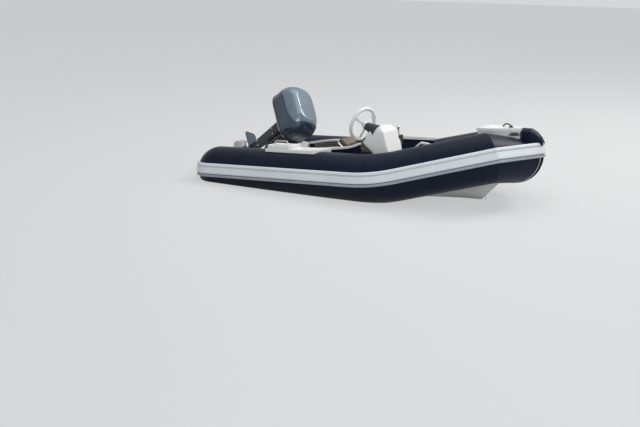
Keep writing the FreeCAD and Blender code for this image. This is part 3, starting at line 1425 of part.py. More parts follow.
def make_leg():
    """Steering pin with its yokes, midsection, plate, gearcase and skeg."""
    front = float(size.leg_front_x)
    half = float(size.leg_half_width)
    low = float(size.plate_z)
    high = float(size.pan_bottom_z) - GAP
    top_length = float(size.leg_top_length)
    bottom_length = float(size.leg_bottom_length)
    column = Part.makeLoft([
        rounded_rectangle(front - top_length, front, half + 22, 40, high),
        rounded_rectangle(front - top_length + 10, front, half, 36, -60),
        rounded_rectangle(front - bottom_length, front, half - 16, 26, low + 60),
        rounded_rectangle(front - bottom_length, front, half - 22, 22, low),
    ], True, True)
    swivel_x = float(size.swivel_x)
    top = float(size.swivel_top_z)
    bottom = float(size.swivel_bottom_z)
    pin = Part.makeCylinder(float(size.swivel_pin_radius), top - bottom + 40, Vector(swivel_x, 0, bottom - 20), UP)
    yokes = []
    for level, height in ((top + 3, 24), (bottom - 26, 23)):
        start = front - 40
        yokes.append(Part.makeBox(swivel_x + 27 - start, 52, height, Vector(start, -26, level)))
    leg = column.fuse([pin] + yokes).removeSplitter()
    sub_part(from_shape("Leg", leg), "outboard_leg", STEERED)

    thick = float(size.plate_thickness)
    plate = Part.Face(polygon_wire([
        Vector(front + 18, -22, low - thick), Vector(front - 60, -74, low - thick),
        Vector(front - 235, -80, low - thick), Vector(front - 262, -62, low - thick),
        Vector(front - 262, 62, low - thick), Vector(front - 235, 80, low - thick),
        Vector(front - 60, 74, low - thick), Vector(front + 18, 22, low - thick),
    ])).extrude(UP * (thick - GAP))
    prop_z = float(size.prop_z)
    radius = float(size.gearcase_radius)
    nose = float(size.gearcase_nose_x)
    aft = float(size.gearcase_aft_x)
    # half profile of the bullet from nose to aft end
    bullet = Part.Wire([
        Part.Arc(Vector(nose, 0, prop_z), Vector(nose - 16, 0, prop_z + radius * 0.72),
                 Vector(nose - 62, 0, prop_z + radius)).toShape(),
        Part.makeLine(Vector(nose - 62, 0, prop_z + radius), Vector(nose - 120, 0, prop_z + radius)),
        Part.makeLine(Vector(nose - 120, 0, prop_z + radius), Vector(aft, 0, prop_z + radius - 7)),
        Part.makeLine(Vector(aft, 0, prop_z + radius - 7), Vector(aft, 0, prop_z)),
        Part.makeLine(Vector(aft, 0, prop_z), Vector(nose, 0, prop_z)),
    ])
    case = Part.Face(bullet).revolve(Vector(0, 0, prop_z), FORWARD, 360)
    strut = Part.makeLoft([
        rounded_rectangle(front - bottom_length + 4, front - 2, 22, 20, low - thick),
        rounded_rectangle(front - bottom_length - 6, front + 8, 18, 17, prop_z),
    ], True, True)
    skeg_low = float(size.skeg_bottom_z)
    skeg = Part.Face(polygon_wire([
        Vector(front + 16, -4, prop_z - 20), Vector(front - 122, -4, prop_z - 20),
        Vector(front - 128, -4, skeg_low), Vector(front - 74, -4, skeg_low),
    ])).extrude(PORT * 8)
    lower = case.fuse([strut, skeg, plate]).removeSplitter()
    sub_part(from_shape("Gearcase", lower), "outboard_gearcase", STEERED)


def make_propeller():
    """Three pitched blades round a hollow hub, with the shaft that seats in the gearcase."""
    radius = float(size.prop_radius)
    hub_radius = float(size.prop_hub_radius)
    length = float(size.prop_hub_length)
    pitch = float(size.prop_pitch_angle)
    thick = float(size.blade_thickness)
    # in the propeller's own frame Z points aft along the shaft
    hub = Part.makeCone(hub_radius - 3, hub_radius, length, ORIGIN, UP)
    count = round(float(size.prop_blades))
    blades = [blade_shape(radius, hub_radius, length, pitch, thick, 360 * k / count) for k in range(count)]
    bore = Part.makeCylinder(hub_radius - 10, 40, Vector(0, 0, length - 40), UP)
    nut = Part.makeCylinder(12, 26, Vector(0, 0, length - 42), UP)
    solid = hub.fuse(blades).removeSplitter().cut(bore).fuse(nut).removeSplitter()
    start = Vector(float(size.gearcase_aft_x - size.prop_gap), 0, float(size.prop_z))
    own = Placement(start, Rotation(PORT, -90))
    sub_part(from_shape("Propeller", solid), "propeller", STEERED.multiply(own))


def blade_shape(radius, hub_radius, length, pitch, thick, turn):
    """One blade: sections at three radii, each turned by the helix angle at its radius."""
    lead = 2 * math.pi * 0.7 * radius * math.tan(math.radians(pitch))
    # share of the radius, chord, thickness share
    rows = [(0.20, 66, 1.0), (0.62, 104, 0.75), (0.92, 66, 0.45)]
    wires = []
    for share, chord, fine in rows:
        r = radius * share
        angle = math.atan(lead / (2 * math.pi * r))
        t = thick * fine
        corners = []
        for along, across in ((-0.5, 0.0), (-0.18, t / 2), (0.18, t / 2), (0.5, 0.0), (0.18, -t / 2), (-0.18, -t / 2)):
            u = along * chord
            y = u * math.cos(angle) - across * math.sin(angle)
            z = u * math.sin(angle) + across * math.cos(angle)
            corners.append(Vector(r, y, z + length * 0.47))
        wires.append(polygon_wire(corners))
    blade = Part.makeLoft(wires, True, True)
    blade.rotate(ORIGIN, UP, turn)
    return blade


def check_and_export():
    """Places every piece in the floating boat, checks it and writes its file."""
    doc.recompute()
    for item in doc.Objects:
        if "Invalid" in item.State or "Error" in item.State:
            raise RuntimeError(f"{item.Name} failed: {item.State}")
    os.makedirs("parts", exist_ok=True)
    for thing in parts:
        shape = thing.Shape
        if shape.isNull() or not shape.isValid():
            raise RuntimeError(f"{thing.Label} has no valid shape")
        shape.exportStep(f"parts/{thing.Label}.step")
        box = shape.BoundBox
        print(f"{thing.Label:26s} solids {len(shape.Solids)} volume {shape.Volume / 1e9:.6f} m3 "
              f"x {box.XMin:.0f} {box.XMax:.0f} y {box.YMin:.0f} {box.YMax:.0f} z {box.ZMin:.0f} {box.ZMax:.0f}")


make_strakes()
make_coaming()
make_hull()
make_floor()
make_transom()
make_side_decks()
make_bow()
make_console()
make_steering()
make_throttle()
make_helm_seat()
make_aft_bench()
make_clamp()
make_swivel()
make_cowl()
make_leg()
make_propeller()
check_and_export()
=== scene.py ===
import math

import bmesh
import bpy
from mathutils import Matrix, Vector
from mathutils.bvhtree import BVHTree


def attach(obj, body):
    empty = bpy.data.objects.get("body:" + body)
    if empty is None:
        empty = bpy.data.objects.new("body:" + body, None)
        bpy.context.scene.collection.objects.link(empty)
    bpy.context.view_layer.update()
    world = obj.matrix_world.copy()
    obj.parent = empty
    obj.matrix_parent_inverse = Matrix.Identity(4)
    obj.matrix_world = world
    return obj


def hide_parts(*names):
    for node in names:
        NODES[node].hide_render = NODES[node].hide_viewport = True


bl_info = {
    "name": "Rib boat dressing",
    "version": (1, 0, 0),
    "blender": (4, 5, 0),
    "location": "View3D > Sidebar > Rib boat",
    "description": "Finishes, cushions and fittings for a small rib boat afloat",
    "category": "Object",
}

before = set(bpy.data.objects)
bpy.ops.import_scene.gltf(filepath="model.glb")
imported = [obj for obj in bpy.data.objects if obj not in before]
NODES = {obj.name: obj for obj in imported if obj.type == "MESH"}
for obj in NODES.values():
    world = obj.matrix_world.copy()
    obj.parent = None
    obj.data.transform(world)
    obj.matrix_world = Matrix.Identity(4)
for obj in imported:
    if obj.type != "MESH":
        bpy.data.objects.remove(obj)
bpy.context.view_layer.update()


# Frames: the level boat, the steering column, the outboard


def turn(degrees, axis):
    """A turn about one axis through the origin."""
    return Matrix.Rotation(math.radians(degrees), 4, axis)


def shift(x, y, z):
    """A move."""
    return Matrix.Translation((x, y, z))


TRIM, HEEL = 3.4, 2.8
HEEL_LINE = (0, -0.64, 0.234)
TILT_POINT, TILT = (-1.064, 0, 0.436), 58
SWIVEL_X, STEER = -0.1, -24
WHEEL_CENTRE, WHEEL_RAKE, WHEEL_YAW = (0.015, -0.256, 0.693), 17, 16

BOAT = turn(-TRIM, "Y") @ shift(*HEEL_LINE) @ turn(-HEEL, "X") @ shift(*HEEL_LINE).inverted()
TILTED = BOAT @ shift(*TILT_POINT) @ turn(TILT, "Y")
STEERED = TILTED @ shift(SWIVEL_X, 0, 0) @ turn(STEER, "Z") @ shift(-SWIVEL_X, 0, 0)
PROPELLER = STEERED @ shift(-0.2765, 0, -0.618) @ turn(-90, "Y")


def column_frame():
    """The steering column: its own Z points to the driver."""
    rake, yaw = math.radians(WHEEL_RAKE), math.radians(WHEEL_YAW)
    driver = Vector((-math.cos(rake) * math.cos(yaw), math.cos(rake) * math.sin(yaw), math.sin(rake)))
    across = Vector((0, 0, 1)).cross(driver).normalized()
    upright = driver.cross(across)
    axes = Matrix((across, upright, driver)).transposed().to_4x4()
    return BOAT @ shift(*WHEEL_CENTRE) @ axes


COLUMN = column_frame()


# Sizes and colours


def length(name, text, value):
    """A size in metres."""
    return bpy.props.FloatProperty(name=name, description=text, default=value, min=0.0, unit="LENGTH")


def colour(name, text, value):
    """A linear colour."""
    return bpy.props.FloatVectorProperty(name=name, description=text, default=value, size=3, min=0.0, max=1.0,
                                         subtype="COLOR")


class RibBoatColours(bpy.types.PropertyGroup):
    """Colours of the finishes."""

    tube: colour("Tube fabric", "Coated fabric of the tubes", (0.0038, 0.0085, 0.0215))
    tube_worn: colour("Tube fabric, chalky", "Sun-bleached patches on the tubes", (0.0070, 0.0130, 0.0280))
    strake: colour("Rubbing strake", "White rubber of the strakes", (0.74, 0.775, 0.80))
    strip: colour("Lower strip", "Grey rubber under the strakes", (0.30, 0.33, 0.37))
    gelcoat: colour("Gelcoat", "White mouldings", (0.80, 0.80, 0.77))
    deck: colour("Deck gelcoat", "Cockpit floor and non-slip", (0.62, 0.62, 0.58))
    # On the side padding this dark olive vinyl is painted shade of the cockpit walls; on the cushions it is
    # their own colour.
    vinyl: colour("Vinyl", "Cushions and side padding", (0.085, 0.072, 0.048))
    cowl: colour("Cowl paint", "Outboard hood and leg", (0.014, 0.031, 0.062))
    # The paler hood tone is painted light: it stands in for the lit top of the hood.
    panel: colour("Cowl panel", "Pale side panel of the hood", (0.115, 0.158, 0.205))
    dark: colour("Black plastic", "Helm, throttle and dials", (0.014, 0.015, 0.017))


class RibBoatSizes(bpy.types.PropertyGroup):
    """Sizes of what is added to the solids."""

    tape_width: length("Seam tape", "Width of the tape over a tube seam", 0.030)
    tape_lift: length("Tape thickness", "How far a tape stands off the tube", 0.0016)
    welt: length("Welt", "Radius of the piping on the cushions", 0.0032)
    stitch_pitch: length("Stitch pitch", "From one stitch to the next", 0.011)
    screw_head: length("Screw head", "Diameter of the deck screws' heads", 0.009)
    tread_pitch: length("Tread pitch", "From one non-slip stud to the next", 0.018)
    swell: length("Cushion swell", "How far a cushion's faces may bulge", 0.012)
    valve: length("Valve", "Radius of an inflation valve", 0.026)
    dial: length("Dial", "Radius of the gauges on the dash", 0.031)
    # Where the paler, painted-light top of the hood ends to the back and front, and its lower edge.
    lit_top_aft: length("Hood panel, back", "Back end of the pale panel", -0.465)
    lit_top_front: length("Hood panel, front", "Front end of the pale panel", -0.013)
    lit_top_edge: length("Hood panel, edge", "Height of the panel's straight lower edge", 0.256)
    lit_top_sweep: length("Hood panel, sweep", "How far the edge sweeps up to the front", 0.054)


def colours():
    """The colours as set in the scene."""
    return bpy.context.scene.rib_boat_colours


def sizes():
    """The sizes as set in the scene."""
    return bpy.context.scene.rib_boat_sizes


# Materials


def shader_tree(name):
    """A material using nodes, with its tree and the tree's shader."""
    material = bpy.data.materials.new(name)
    material.use_nodes = True
    tree = material.node_tree
    shader = tree.nodes["Principled BSDF"]
    return material, tree, shader


def add(tree, kind, **values):
    """A node with its sockets set by name and its settings by attribute."""
    node = tree.nodes.new(kind)
    for key, value in values.items():
        if hasattr(node, key):
            setattr(node, key, value)
        else:
            node.inputs[key.replace("_", " ")].default_value = value
    return node


def ramp(tree, source, stops):
    """A colour ramp over a factor; stops are (place, colour)."""
    node = tree.nodes.new("ShaderNodeValToRGB")
    points = node.color_ramp.elements
    while len(points) < len(stops):
        points.new(0.5)
    for point, (place, tone) in zip(points, stops):
        point.position = place
        point.color = (*tone, 1) if len(tone) == 3 else tone
    tree.links.new(source, node.inputs["Fac"])
    return node.outputs["Color"]


def spread(tree, source, low, high):
    """A factor mapped onto low..high."""
    node = add(tree, "ShaderNodeMapRange")
    node.inputs["To Min"].default_value = low
    node.inputs["To Max"].default_value = high
    tree.links.new(source, node.inputs["Value"])
    return node.outputs["Result"]


def blend_colours(tree, factor, first, second, kind="MIX"):
    """Two colours mixed by a factor socket; each is a socket or a colour."""
    node = tree.nodes.new("ShaderNodeMix")
    node.data_type = "RGBA"
    node.blend_type = kind
    for value, socket in ((factor, node.inputs[0]), (first, node.inputs[6]), (second, node.inputs[7])):
        if isinstance(value, bpy.types.NodeSocket):
            tree.links.new(value, socket)
        elif isinstance(value, (int, float)):
            socket.default_value = value
        else:
            socket.default_value = (*value, 1)
    return node.outputs[2]


def finish(name, base, worn=None, patch=2.5, rough=(0.35, 0.5), grain=(), grime=None, hollow_dirt_and_shade=None,
           metallic=0.0, coat=0.0, sheen=0.0, flakes=0.0, shine=0.5):
    """A procedural finish on object coordinates.

    worn is the tone of soft patches of size 1/patch; grain is a list of (kind, scale, depth) bumps;
    grime is (colour, height, amount) for a tide mark; the hollow darkening is (colour, reach, amount),
    painted shade with some dirt where the AO node finds hollows.
    """
    material, tree, shader = shader_tree(name)
    place = add(tree, "ShaderNodeTexCoord").outputs["Object"]
    clouds = add(tree, "ShaderNodeTexNoise", Scale=patch, Detail=6.0, Roughness=0.62)
    tree.links.new(place, clouds.inputs["Vector"])
    speck = add(tree, "ShaderNodeTexNoise", Scale=patch * 23, Detail=3.0, Roughness=0.6)
    tree.links.new(place, speck.inputs["Vector"])
    worn = worn or tuple(min(1, c * 1.25 + 0.004) for c in base)
    tone = ramp(tree, clouds.outputs["Fac"], [(0.38, base), (0.72, worn)])
    dim = tuple(c * 0.86 for c in base)
    tone = blend_colours(tree, spread(tree, speck.outputs["Fac"], -0.15, 0.45), tone, dim)
    if flakes:
        sparkle = add(tree, "ShaderNodeTexVoronoi", Scale=1800.0)
        tree.links.new(place, sparkle.inputs["Vector"])
        bright = tuple(min(1, c * 1.9 + 0.02) for c in base)
        tone = blend_colours(tree, spread(tree, sparkle.outputs["Distance"], flakes, 0.0), tone, bright)
    if grime:
        stain_and_shade, height, amount = grime
        split = add(tree, "ShaderNodeSeparateXYZ")
        tree.links.new(place, split.inputs["Vector"])
        ragged = add(tree, "ShaderNodeMath", operation="MULTIPLY_ADD")
        tree.links.new(clouds.outputs["Fac"], ragged.inputs[0])
        ragged.inputs[1].default_value = -0.07
        tree.links.new(split.outputs["Z"], ragged.inputs[2])
        tide = add(tree, "ShaderNodeMapRange")
        tree.links.new(ragged.outputs[0], tide.inputs["Value"])
        tide.inputs["From Min"].default_value = height
        tide.inputs["From Max"].default_value = height - 0.09
        tide.inputs["To Min"].default_value = 0.0
        tide.inputs["To Max"].default_value = amount
        tone = blend_colours(tree, tide.outputs["Result"], tone, stain_and_shade)
    # Painted shade with some dirt: the colour darkens where the AO node finds hollows, where shade falls.
    if hollow_dirt_and_shade:
        stain_and_shade, reach, amount = hollow_dirt_and_shade
        hollow = add(tree, "ShaderNodeAmbientOcclusion", samples=8, Distance=reach)
        hollow_darkening = add(tree, "ShaderNodeMapRange")
        tree.links.new(hollow.outputs["AO"], hollow_darkening.inputs["Value"])
        hollow_darkening.inputs["From Min"].default_value = 0.25
        hollow_darkening.inputs["From Max"].default_value = 0.85
        hollow_darkening.inputs["To Min"].default_value = amount
        hollow_darkening.inputs["To Max"].default_value = 0.0
        tone = blend_colours(tree, hollow_darkening.outputs["Result"], tone, stain_and_shade)
    tree.links.new(tone, shader.inputs["Base Color"])
    tree.links.new(spread(tree, clouds.outputs["Fac"], rough[0] - 0.06, rough[1] + 0.06),
                   shader.inputs["Roughness"])
    bump = None
    for kind, scale, depth in grain:
        texture = tree.nodes.new({"noise": "ShaderNodeTexNoise", "cells": "ShaderNodeTexVoronoi",
                                  "weave": "ShaderNodeTexWave", "cross": "ShaderNodeTexWave"}[kind])
        texture.inputs["Scale"].default_value = scale
        if kind in ("weave", "cross"):
            texture.bands_direction = "X" if kind == "weave" else "Z"
            texture.inputs["Distortion"].default_value = 0.3
        tree.links.new(place, texture.inputs["Vector"])
        layer = add(tree, "ShaderNodeBump", Strength=0.6, Distance=depth)
        tree.links.new(texture.outputs["Distance" if kind == "cells" else "Fac"], layer.inputs["Height"])
        if bump:
            tree.links.new(bump.outputs["Normal"], layer.inputs["Normal"])
        bump = layer
    if bump:
        tree.links.new(bump.outputs["Normal"], shader.inputs["Normal"])
    shader.inputs["Metallic"].default_value = metallic
    shader.inputs["Coat Weight"].default_value = coat
    shader.inputs["Coat Roughness"].default_value = 0.08
    shader.inputs["Sheen Weight"].default_value = sheen
    shader.inputs["Specular IOR Level"].default_value = shine
    return material


FINISHES = {}


def make_finishes():
    """Every finish of the boat, by name."""
    tint = colours()
    mud = (0.10, 0.088, 0.055)
    made = {
        # The hollow darkening given to several finishes below is painted shade, with some dirt, in the
        # hollows the AO node finds.
        "tube_fabric": finish("tube_fabric", tint.tube, tint.tube_worn, 1.7, (0.34, 0.48), (
            ("noise", 900.0, 0.0004), ("noise", 9.0, 0.004), ("weave", 420.0, 0.00015),
            ("cross", 420.0, 0.00015)),
            grime=((0.012, 0.015, 0.011), 0.10, 0.5), shine=0.12),
        "tube_tape": finish("tube_tape", tuple(c * 0.8 for c in tint.tube), tint.tube, 6.0, (0.3, 0.42),
                            (("noise", 600.0, 0.0003),), shine=0.12),
        "white_rubber": finish("white_rubber", tint.strake, (0.66, 0.69, 0.71), 4.0, (0.36, 0.5),
                               (("noise", 500.0, 0.0003), ("noise", 30.0, 0.0012)),
                               hollow_dirt_and_shade=((0.16, 0.17, 0.17), 0.02, 0.5)),
        "grey_rubber": finish("grey_rubber", tint.strip, (0.38, 0.41, 0.45), 5.0, (0.42, 0.55),
                              (("noise", 500.0, 0.0003),)),
        "gelcoat": finish("gelcoat", tint.gelcoat, (0.74, 0.74, 0.70), 3.0, (0.16, 0.3),
                          (("noise", 14.0, 0.0008),), grime=(mud, 0.03, 0.5),
                          hollow_dirt_and_shade=((0.30, 0.27, 0.21), 0.03, 0.45), coat=0.35),
        "deck_gelcoat": finish("deck_gelcoat", tint.deck, (0.52, 0.51, 0.46), 4.0, (0.4, 0.6),
                               (("noise", 160.0, 0.0007),), hollow_dirt_and_shade=((0.20, 0.18, 0.14), 0.05, 0.6)),
        "vinyl": finish("vinyl", tint.vinyl, tuple(c * 1.5 for c in tint.vinyl), 7.0, (0.42, 0.6), (
            ("cells", 420.0, 0.0006), ("noise", 40.0, 0.0015)), hollow_dirt_and_shade=((0.02, 0.018, 0.013), 0.02, 0.7),
            sheen=0.15),
        "thread": finish("thread", (0.20, 0.18, 0.14), None, 30.0, (0.6, 0.8), (("noise", 1500.0, 0.0002),)),
        "engine_paint": finish("engine_paint", tint.cowl, tuple(c * 1.25 for c in tint.cowl), 2.0,
                               (0.2, 0.32), (("noise", 22.0, 0.0006),), metallic=0.35, coat=0.8,
                               flakes=0.35),
        # A paler finish that paints the light falling on the hood's top.
        "cowl_lit_top": finish("cowl_lit_top", tint.panel, None, 3.0, (0.22, 0.34), (("noise", 22.0, 0.0004),),
                             metallic=0.3, coat=0.6, flakes=0.2),
        "black_plastic": finish("black_plastic", tint.dark, (0.026, 0.027, 0.029), 8.0, (0.42, 0.6),
                                (("noise", 700.0, 0.0005), ("cells", 300.0, 0.0003))),
        "stainless": finish("stainless", (0.58, 0.58, 0.57), (0.50, 0.49, 0.47), 12.0, (0.14, 0.3),
                            (("noise", 260.0, 0.0002),), metallic=1.0),
        "cast_metal": finish("cast_metal", (0.05, 0.056, 0.066), (0.075, 0.08, 0.09), 9.0, (0.5, 0.68),
                             (("noise", 260.0, 0.0009), ("cells", 90.0, 0.0004)), metallic=0.4,
                             hollow_dirt_and_shade=((0.02, 0.018, 0.015), 0.02, 0.6)),
        "white_plastic": finish("white_plastic", (0.80, 0.80, 0.78), (0.74, 0.73, 0.69), 9.0, (0.26, 0.4),
                                (("noise", 420.0, 0.0002),), hollow_dirt_and_shade=((0.35, 0.32, 0.26), 0.02, 0.4)),
        "white_paint": finish("white_paint", (0.74, 0.74, 0.72), (0.66, 0.65, 0.61), 11.0, (0.28, 0.42),
                              (("noise", 120.0, 0.0005),), hollow_dirt_and_shade=((0.30, 0.27, 0.20), 0.02, 0.5)),
        "dial_face": finish("dial_face", (0.75, 0.75, 0.72), (0.7, 0.69, 0.64), 20.0, (0.3, 0.4),
                            (("noise", 900.0, 0.0001),), coat=0.6),
        "anode": finish("anode", (0.36, 0.36, 0.35), (0.28, 0.28, 0.26), 60.0, (0.6, 0.8),
                        (("noise", 400.0, 0.001), ("cells", 200.0, 0.0006)), metallic=0.7),
        "red_plastic": finish("red_plastic", (0.45, 0.02, 0.015), None, 20.0, (0.35, 0.5),
                              (("noise", 500.0, 0.0002),)),
    }
    FINISHES.update(made)


NODE_FINISHES = {
    "tube_fabric": ("tube_starboard", "tube_port", "coaming_boards", "nose_fairing"),
    "white_rubber": ("rub_strake_starboard", "rub_strake_port"),
    "grey_rubber": ("lower_strake_starboard", "lower_strake_port"),
    "gelcoat": ("hull", "coaming", "transom", "boarding_pad", "bow_deck", "bow_step", "bow_hatch", "console",
                "helm_seat_box", "aft_bench", "aft_bench_lid"),
    "deck_gelcoat": ("cockpit_floor",),
    "stainless": ("boarding_handle", "bow_eye", "backrest_frame", "throttle_lever"),
    "cast_metal": ("clamp_bracket", "swivel_bracket", "engine_block", "outboard_leg", "bow_cleat"),
    "engine_paint": ("outboard_hood", "outboard_lower_cowl", "outboard_gearcase"),
    "black_plastic": ("helm_housing", "throttle_box", "hatch_latch", "backrest_mounts",
                      "transom_wear_plates"),
    "white_plastic": ("steering_wheel",),
    "white_paint": ("propeller",),
    "vinyl": ("helm_seat_cushion", "backrest_pad", "aft_bench_cushion", "side_bolsters"),
}


# Mesh makers: each gives a mesh in the frame it is drawn in


def fit(name, mesh, place, body, material, smooth=35.0):
    """Puts a mesh in its place, rides it on its body and gives it its finish."""
    mesh.transform(place)
    thing = bpy.data.objects.new(name, mesh)
    bpy.context.scene.collection.objects.link(thing)
    mesh.materials.clear()
    mesh.materials.append(FINISHES[material])
    if smooth:
        mesh.shade_smooth()
        mesh.set_sharp_from_angle(angle=math.radians(smooth))
    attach(thing, body)
    return thing


def mesh_of(build):
    """A mesh made by a function that draws into a bmesh."""
    drawing = bmesh.new()
    build(drawing)
    bmesh.ops.remove_doubles(drawing, verts=drawing.verts, dist=1e-6)
    bmesh.ops.recalc_face_normals(drawing, faces=drawing.faces)
    mesh = bpy.data.meshes.new("drawn")
    drawing.to_mesh(mesh)
    drawing.free()
    return mesh


def joined(meshes):
    """Several meshes as one."""
    drawing = bmesh.new()
    for mesh in meshes:
        drawing.from_mesh(mesh)
        bpy.data.meshes.remove(mesh)
    mesh = bpy.data.meshes.new("joined")
    drawing.to_mesh(mesh)
    drawing.free()
    return mesh


def moved(mesh, place):
    """The same mesh, moved."""
    mesh.transform(place)
    return mesh


def swept(points, ups, profile, closed=False):
    """A closed profile (across, up) carried along points whose surface faces ups."""
    count, corners = len(points), len(profile)

    def build(drawing):
        rings = []
        for index, (point, up) in enumerate(zip(points, ups)):
            after = points[(index + 1) % count] if closed or index < count - 1 else point
            before = points[index - 1] if closed or index else point
            along = (after - before).normalized()
            across = along.cross(up).normalized()
            lift = across.cross(along).normalized()
            rings.append([drawing.verts.new(point + across * u + lift * v) for u, v in profile])
        for index in range(count if closed else count - 1):
            first, second = rings[index], rings[(index + 1) % count]
            for k in range(corners):
                drawing.faces.new((first[k], first[(k + 1) % corners], second[(k + 1) % corners], second[k]))
        if not closed:
            drawing.faces.new(rings[0])
            drawing.faces.new(rings[-1])

    return mesh_of(build)


def tape_profile(width, lift, sink=0.001):
    """A flat tape with eased edges that sinks a little into what carries it."""
    half = width / 2
    return [(-half, -sink), (-half, lift * 0.35), (-half + lift, lift), (half - lift, lift),
            (half, lift * 0.35), (half, -sink)]


def bead_profile(radius, lift=0.0, steps=10):
    """A round bead."""
    return [(radius * math.cos(2 * math.pi * k / steps), radius * math.sin(2 * math.pi * k / steps) + lift)
            for k in range(steps)]


def turned(profile, steps=32):
    """A closed (radius, height) profile turned about Z."""
    def build(drawing):
        rings = []
        for radius, height in profile:
            if radius < 1e-7:
                rings.append([drawing.verts.new((0, 0, height))] * steps)
            else:
                rings.append([drawing.verts.new((radius * math.cos(2 * math.pi * k / steps),
                                                 radius * math.sin(2 * math.pi * k / steps), height))
                              for k in range(steps)])
        for first, second in zip(rings, rings[1:]):
            for k in range(steps):
                ring = [first[k], first[(k + 1) % steps], second[(k + 1) % steps], second[k]]
                ring = [v for i, v in enumerate(ring) if v not in ring[:i]]
                if len(ring) > 2:
                    drawing.faces.new(ring)
    return mesh_of(build)


def slab(outline, thickness, ease=0.001, steps=2):
    """A plate from an outline (x, y), its top at thickness, its edges eased."""
    def build(drawing):
        low = [drawing.verts.new((x, y, 0)) for x, y in outline]
        high = [drawing.verts.new((x, y, thickness)) for x, y in outline]
        drawing.faces.new(low)
        top = drawing.faces.new(high)
        for k in range(len(outline)):
            n = (k + 1) % len(outline)
            drawing.faces.new((low[k], low[n], high[n], high[k]))
        bmesh.ops.bevel(drawing, geom=list(top.edges) + [e for e in drawing.edges if len(outline) < 9
                        and abs(e.verts[0].co.z - e.verts[1].co.z) > 1e-9],
                        offset=ease, segments=steps, affect="EDGES", clamp_overlap=True)
    return mesh_of(build)


def round_outline(length_x, width_y, radius, steps=6):
    """A rectangle with round corners about the origin."""
    points = []
    for sx, sy, start in ((1, 1, 0), (-1, 1, 90), (-1, -1, 180), (1, -1, 270)):
        for k in range(steps + 1):
            angle = math.radians(start + 90 * k / steps)
            points.append((sx * (length_x / 2 - radius) + radius * math.cos(angle),
                           sy * (width_y / 2 - radius) + radius * math.sin(angle)))
    return points


def skin(place, *names):
    """A search tree over CAD nodes or pieces, in the frame place."""
    back = place.inverted()
    corners, faces = [], []
    for name in names:
        mesh = (NODES[name] if isinstance(name, str) else name).data
        start = len(corners)
        corners += [back @ v.co for v in mesh.vertices]
        faces += [[start + i for i in polygon.vertices] for polygon in mesh.polygons]
    return BVHTree.FromPolygons(corners, faces)


def land(tree, start, way):
    """Where a ray first meets the surface, and the way the surface faces there."""
    start, way = Vector(start), Vector(way).normalized()
    point, normal, _, _ = tree.ray_cast(start, way)
    if point is None:
        raise RuntimeError(f"nothing is met from {tuple(start)} towards {tuple(way)}")
    if normal.dot(way) > 0:
        normal = -normal
    return point, normal


def seat(point, up, along):
    """A frame at point whose Z is up and whose X runs along."""
    up = Vector(up).normalized()
    across = up.cross(Vector(along)).normalized()
    forward = across.cross(up)
    axes = Matrix((forward, across, up)).transposed().to_4x4()
    return Matrix.Translation(point) @ axes


def run_of(tree, pairs):
    """Points and facings where rays (start, way) meet the surface."""
    hits = [land(tree, start, way) for start, way in pairs]
    return [h[0] for h in hits], [h[1] for h in hits]


# Rows and fields of small shapes, by geometry nodes


def group_with(name, sockets):
    """A node group with a geometry in and out and named number inputs."""
    tree = bpy.data.node_groups.new(name, "GeometryNodeTree")
    tree.interface.new_socket("Geometry", in_out="INPUT", socket_type="NodeSocketGeometry")
    for label, value in sockets:
        kind = "NodeSocketMaterial" if value is None else "NodeSocketFloat"
        socket = tree.interface.new_socket(label, in_out="INPUT", socket_type=kind)
        if value is not None:
            socket.default_value = value
    tree.interface.new_socket("Geometry", in_out="OUTPUT", socket_type="NodeSocketGeometry")
    return tree, tree.nodes.new("NodeGroupInput"), tree.nodes.new("NodeGroupOutput")


def row_group():
    """Small rounded heads at a pitch along a path, stood on its facing."""
    tree, given, out = group_with("row_of_heads", [
        ("Pitch", 0.011), ("Length", 0.007), ("Width", 0.0016), ("Height", 0.0012), ("Finish", None)])
    links = tree.links
    curve = tree.nodes.new("GeometryNodeMeshToCurve")
    points = add(tree, "GeometryNodeCurveToPoints", mode="LENGTH")
    links.new(given.outputs["Geometry"], curve.inputs[0])
    links.new(curve.outputs[0], points.inputs["Curve"])
    links.new(given.outputs["Pitch"], points.inputs["Length"])
    facing = add(tree, "GeometryNodeInputNamedAttribute", data_type="FLOAT_VECTOR")
    facing.inputs["Name"].default_value = "facing"
    upright = add(tree, "FunctionNodeAlignRotationToVector", axis="Z")
    links.new(facing.outputs["Attribute"], upright.inputs["Vector"])
    along = add(tree, "FunctionNodeAlignRotationToVector", axis="X", pivot_axis="Z")
    links.new(upright.outputs["Rotation"], along.inputs["Rotation"])
    links.new(points.outputs["Tangent"], along.inputs["Vector"])
    ball = add(tree, "GeometryNodeMeshUVSphere")
    ball.inputs["Segments"].default_value = 10
    ball.inputs["Rings"].default_value = 6
    ball.inputs["Radius"].default_value = 0.5
    size = tree.nodes.new("ShaderNodeCombineXYZ")
    for label, axis in (("Length", "X"), ("Width", "Y"), ("Height", "Z")):
        links.new(given.outputs[label], size.inputs[axis])
    place = tree.nodes.new("GeometryNodeInstanceOnPoints")
    links.new(points.outputs["Points"], place.inputs["Points"])
    links.new(ball.outputs["Mesh"], place.inputs["Instance"])
    links.new(along.outputs["Rotation"], place.inputs["Rotation"])
    links.new(size.outputs["Vector"], place.inputs["Scale"])
    close_group(tree, place.outputs["Instances"], given, out)
    return tree


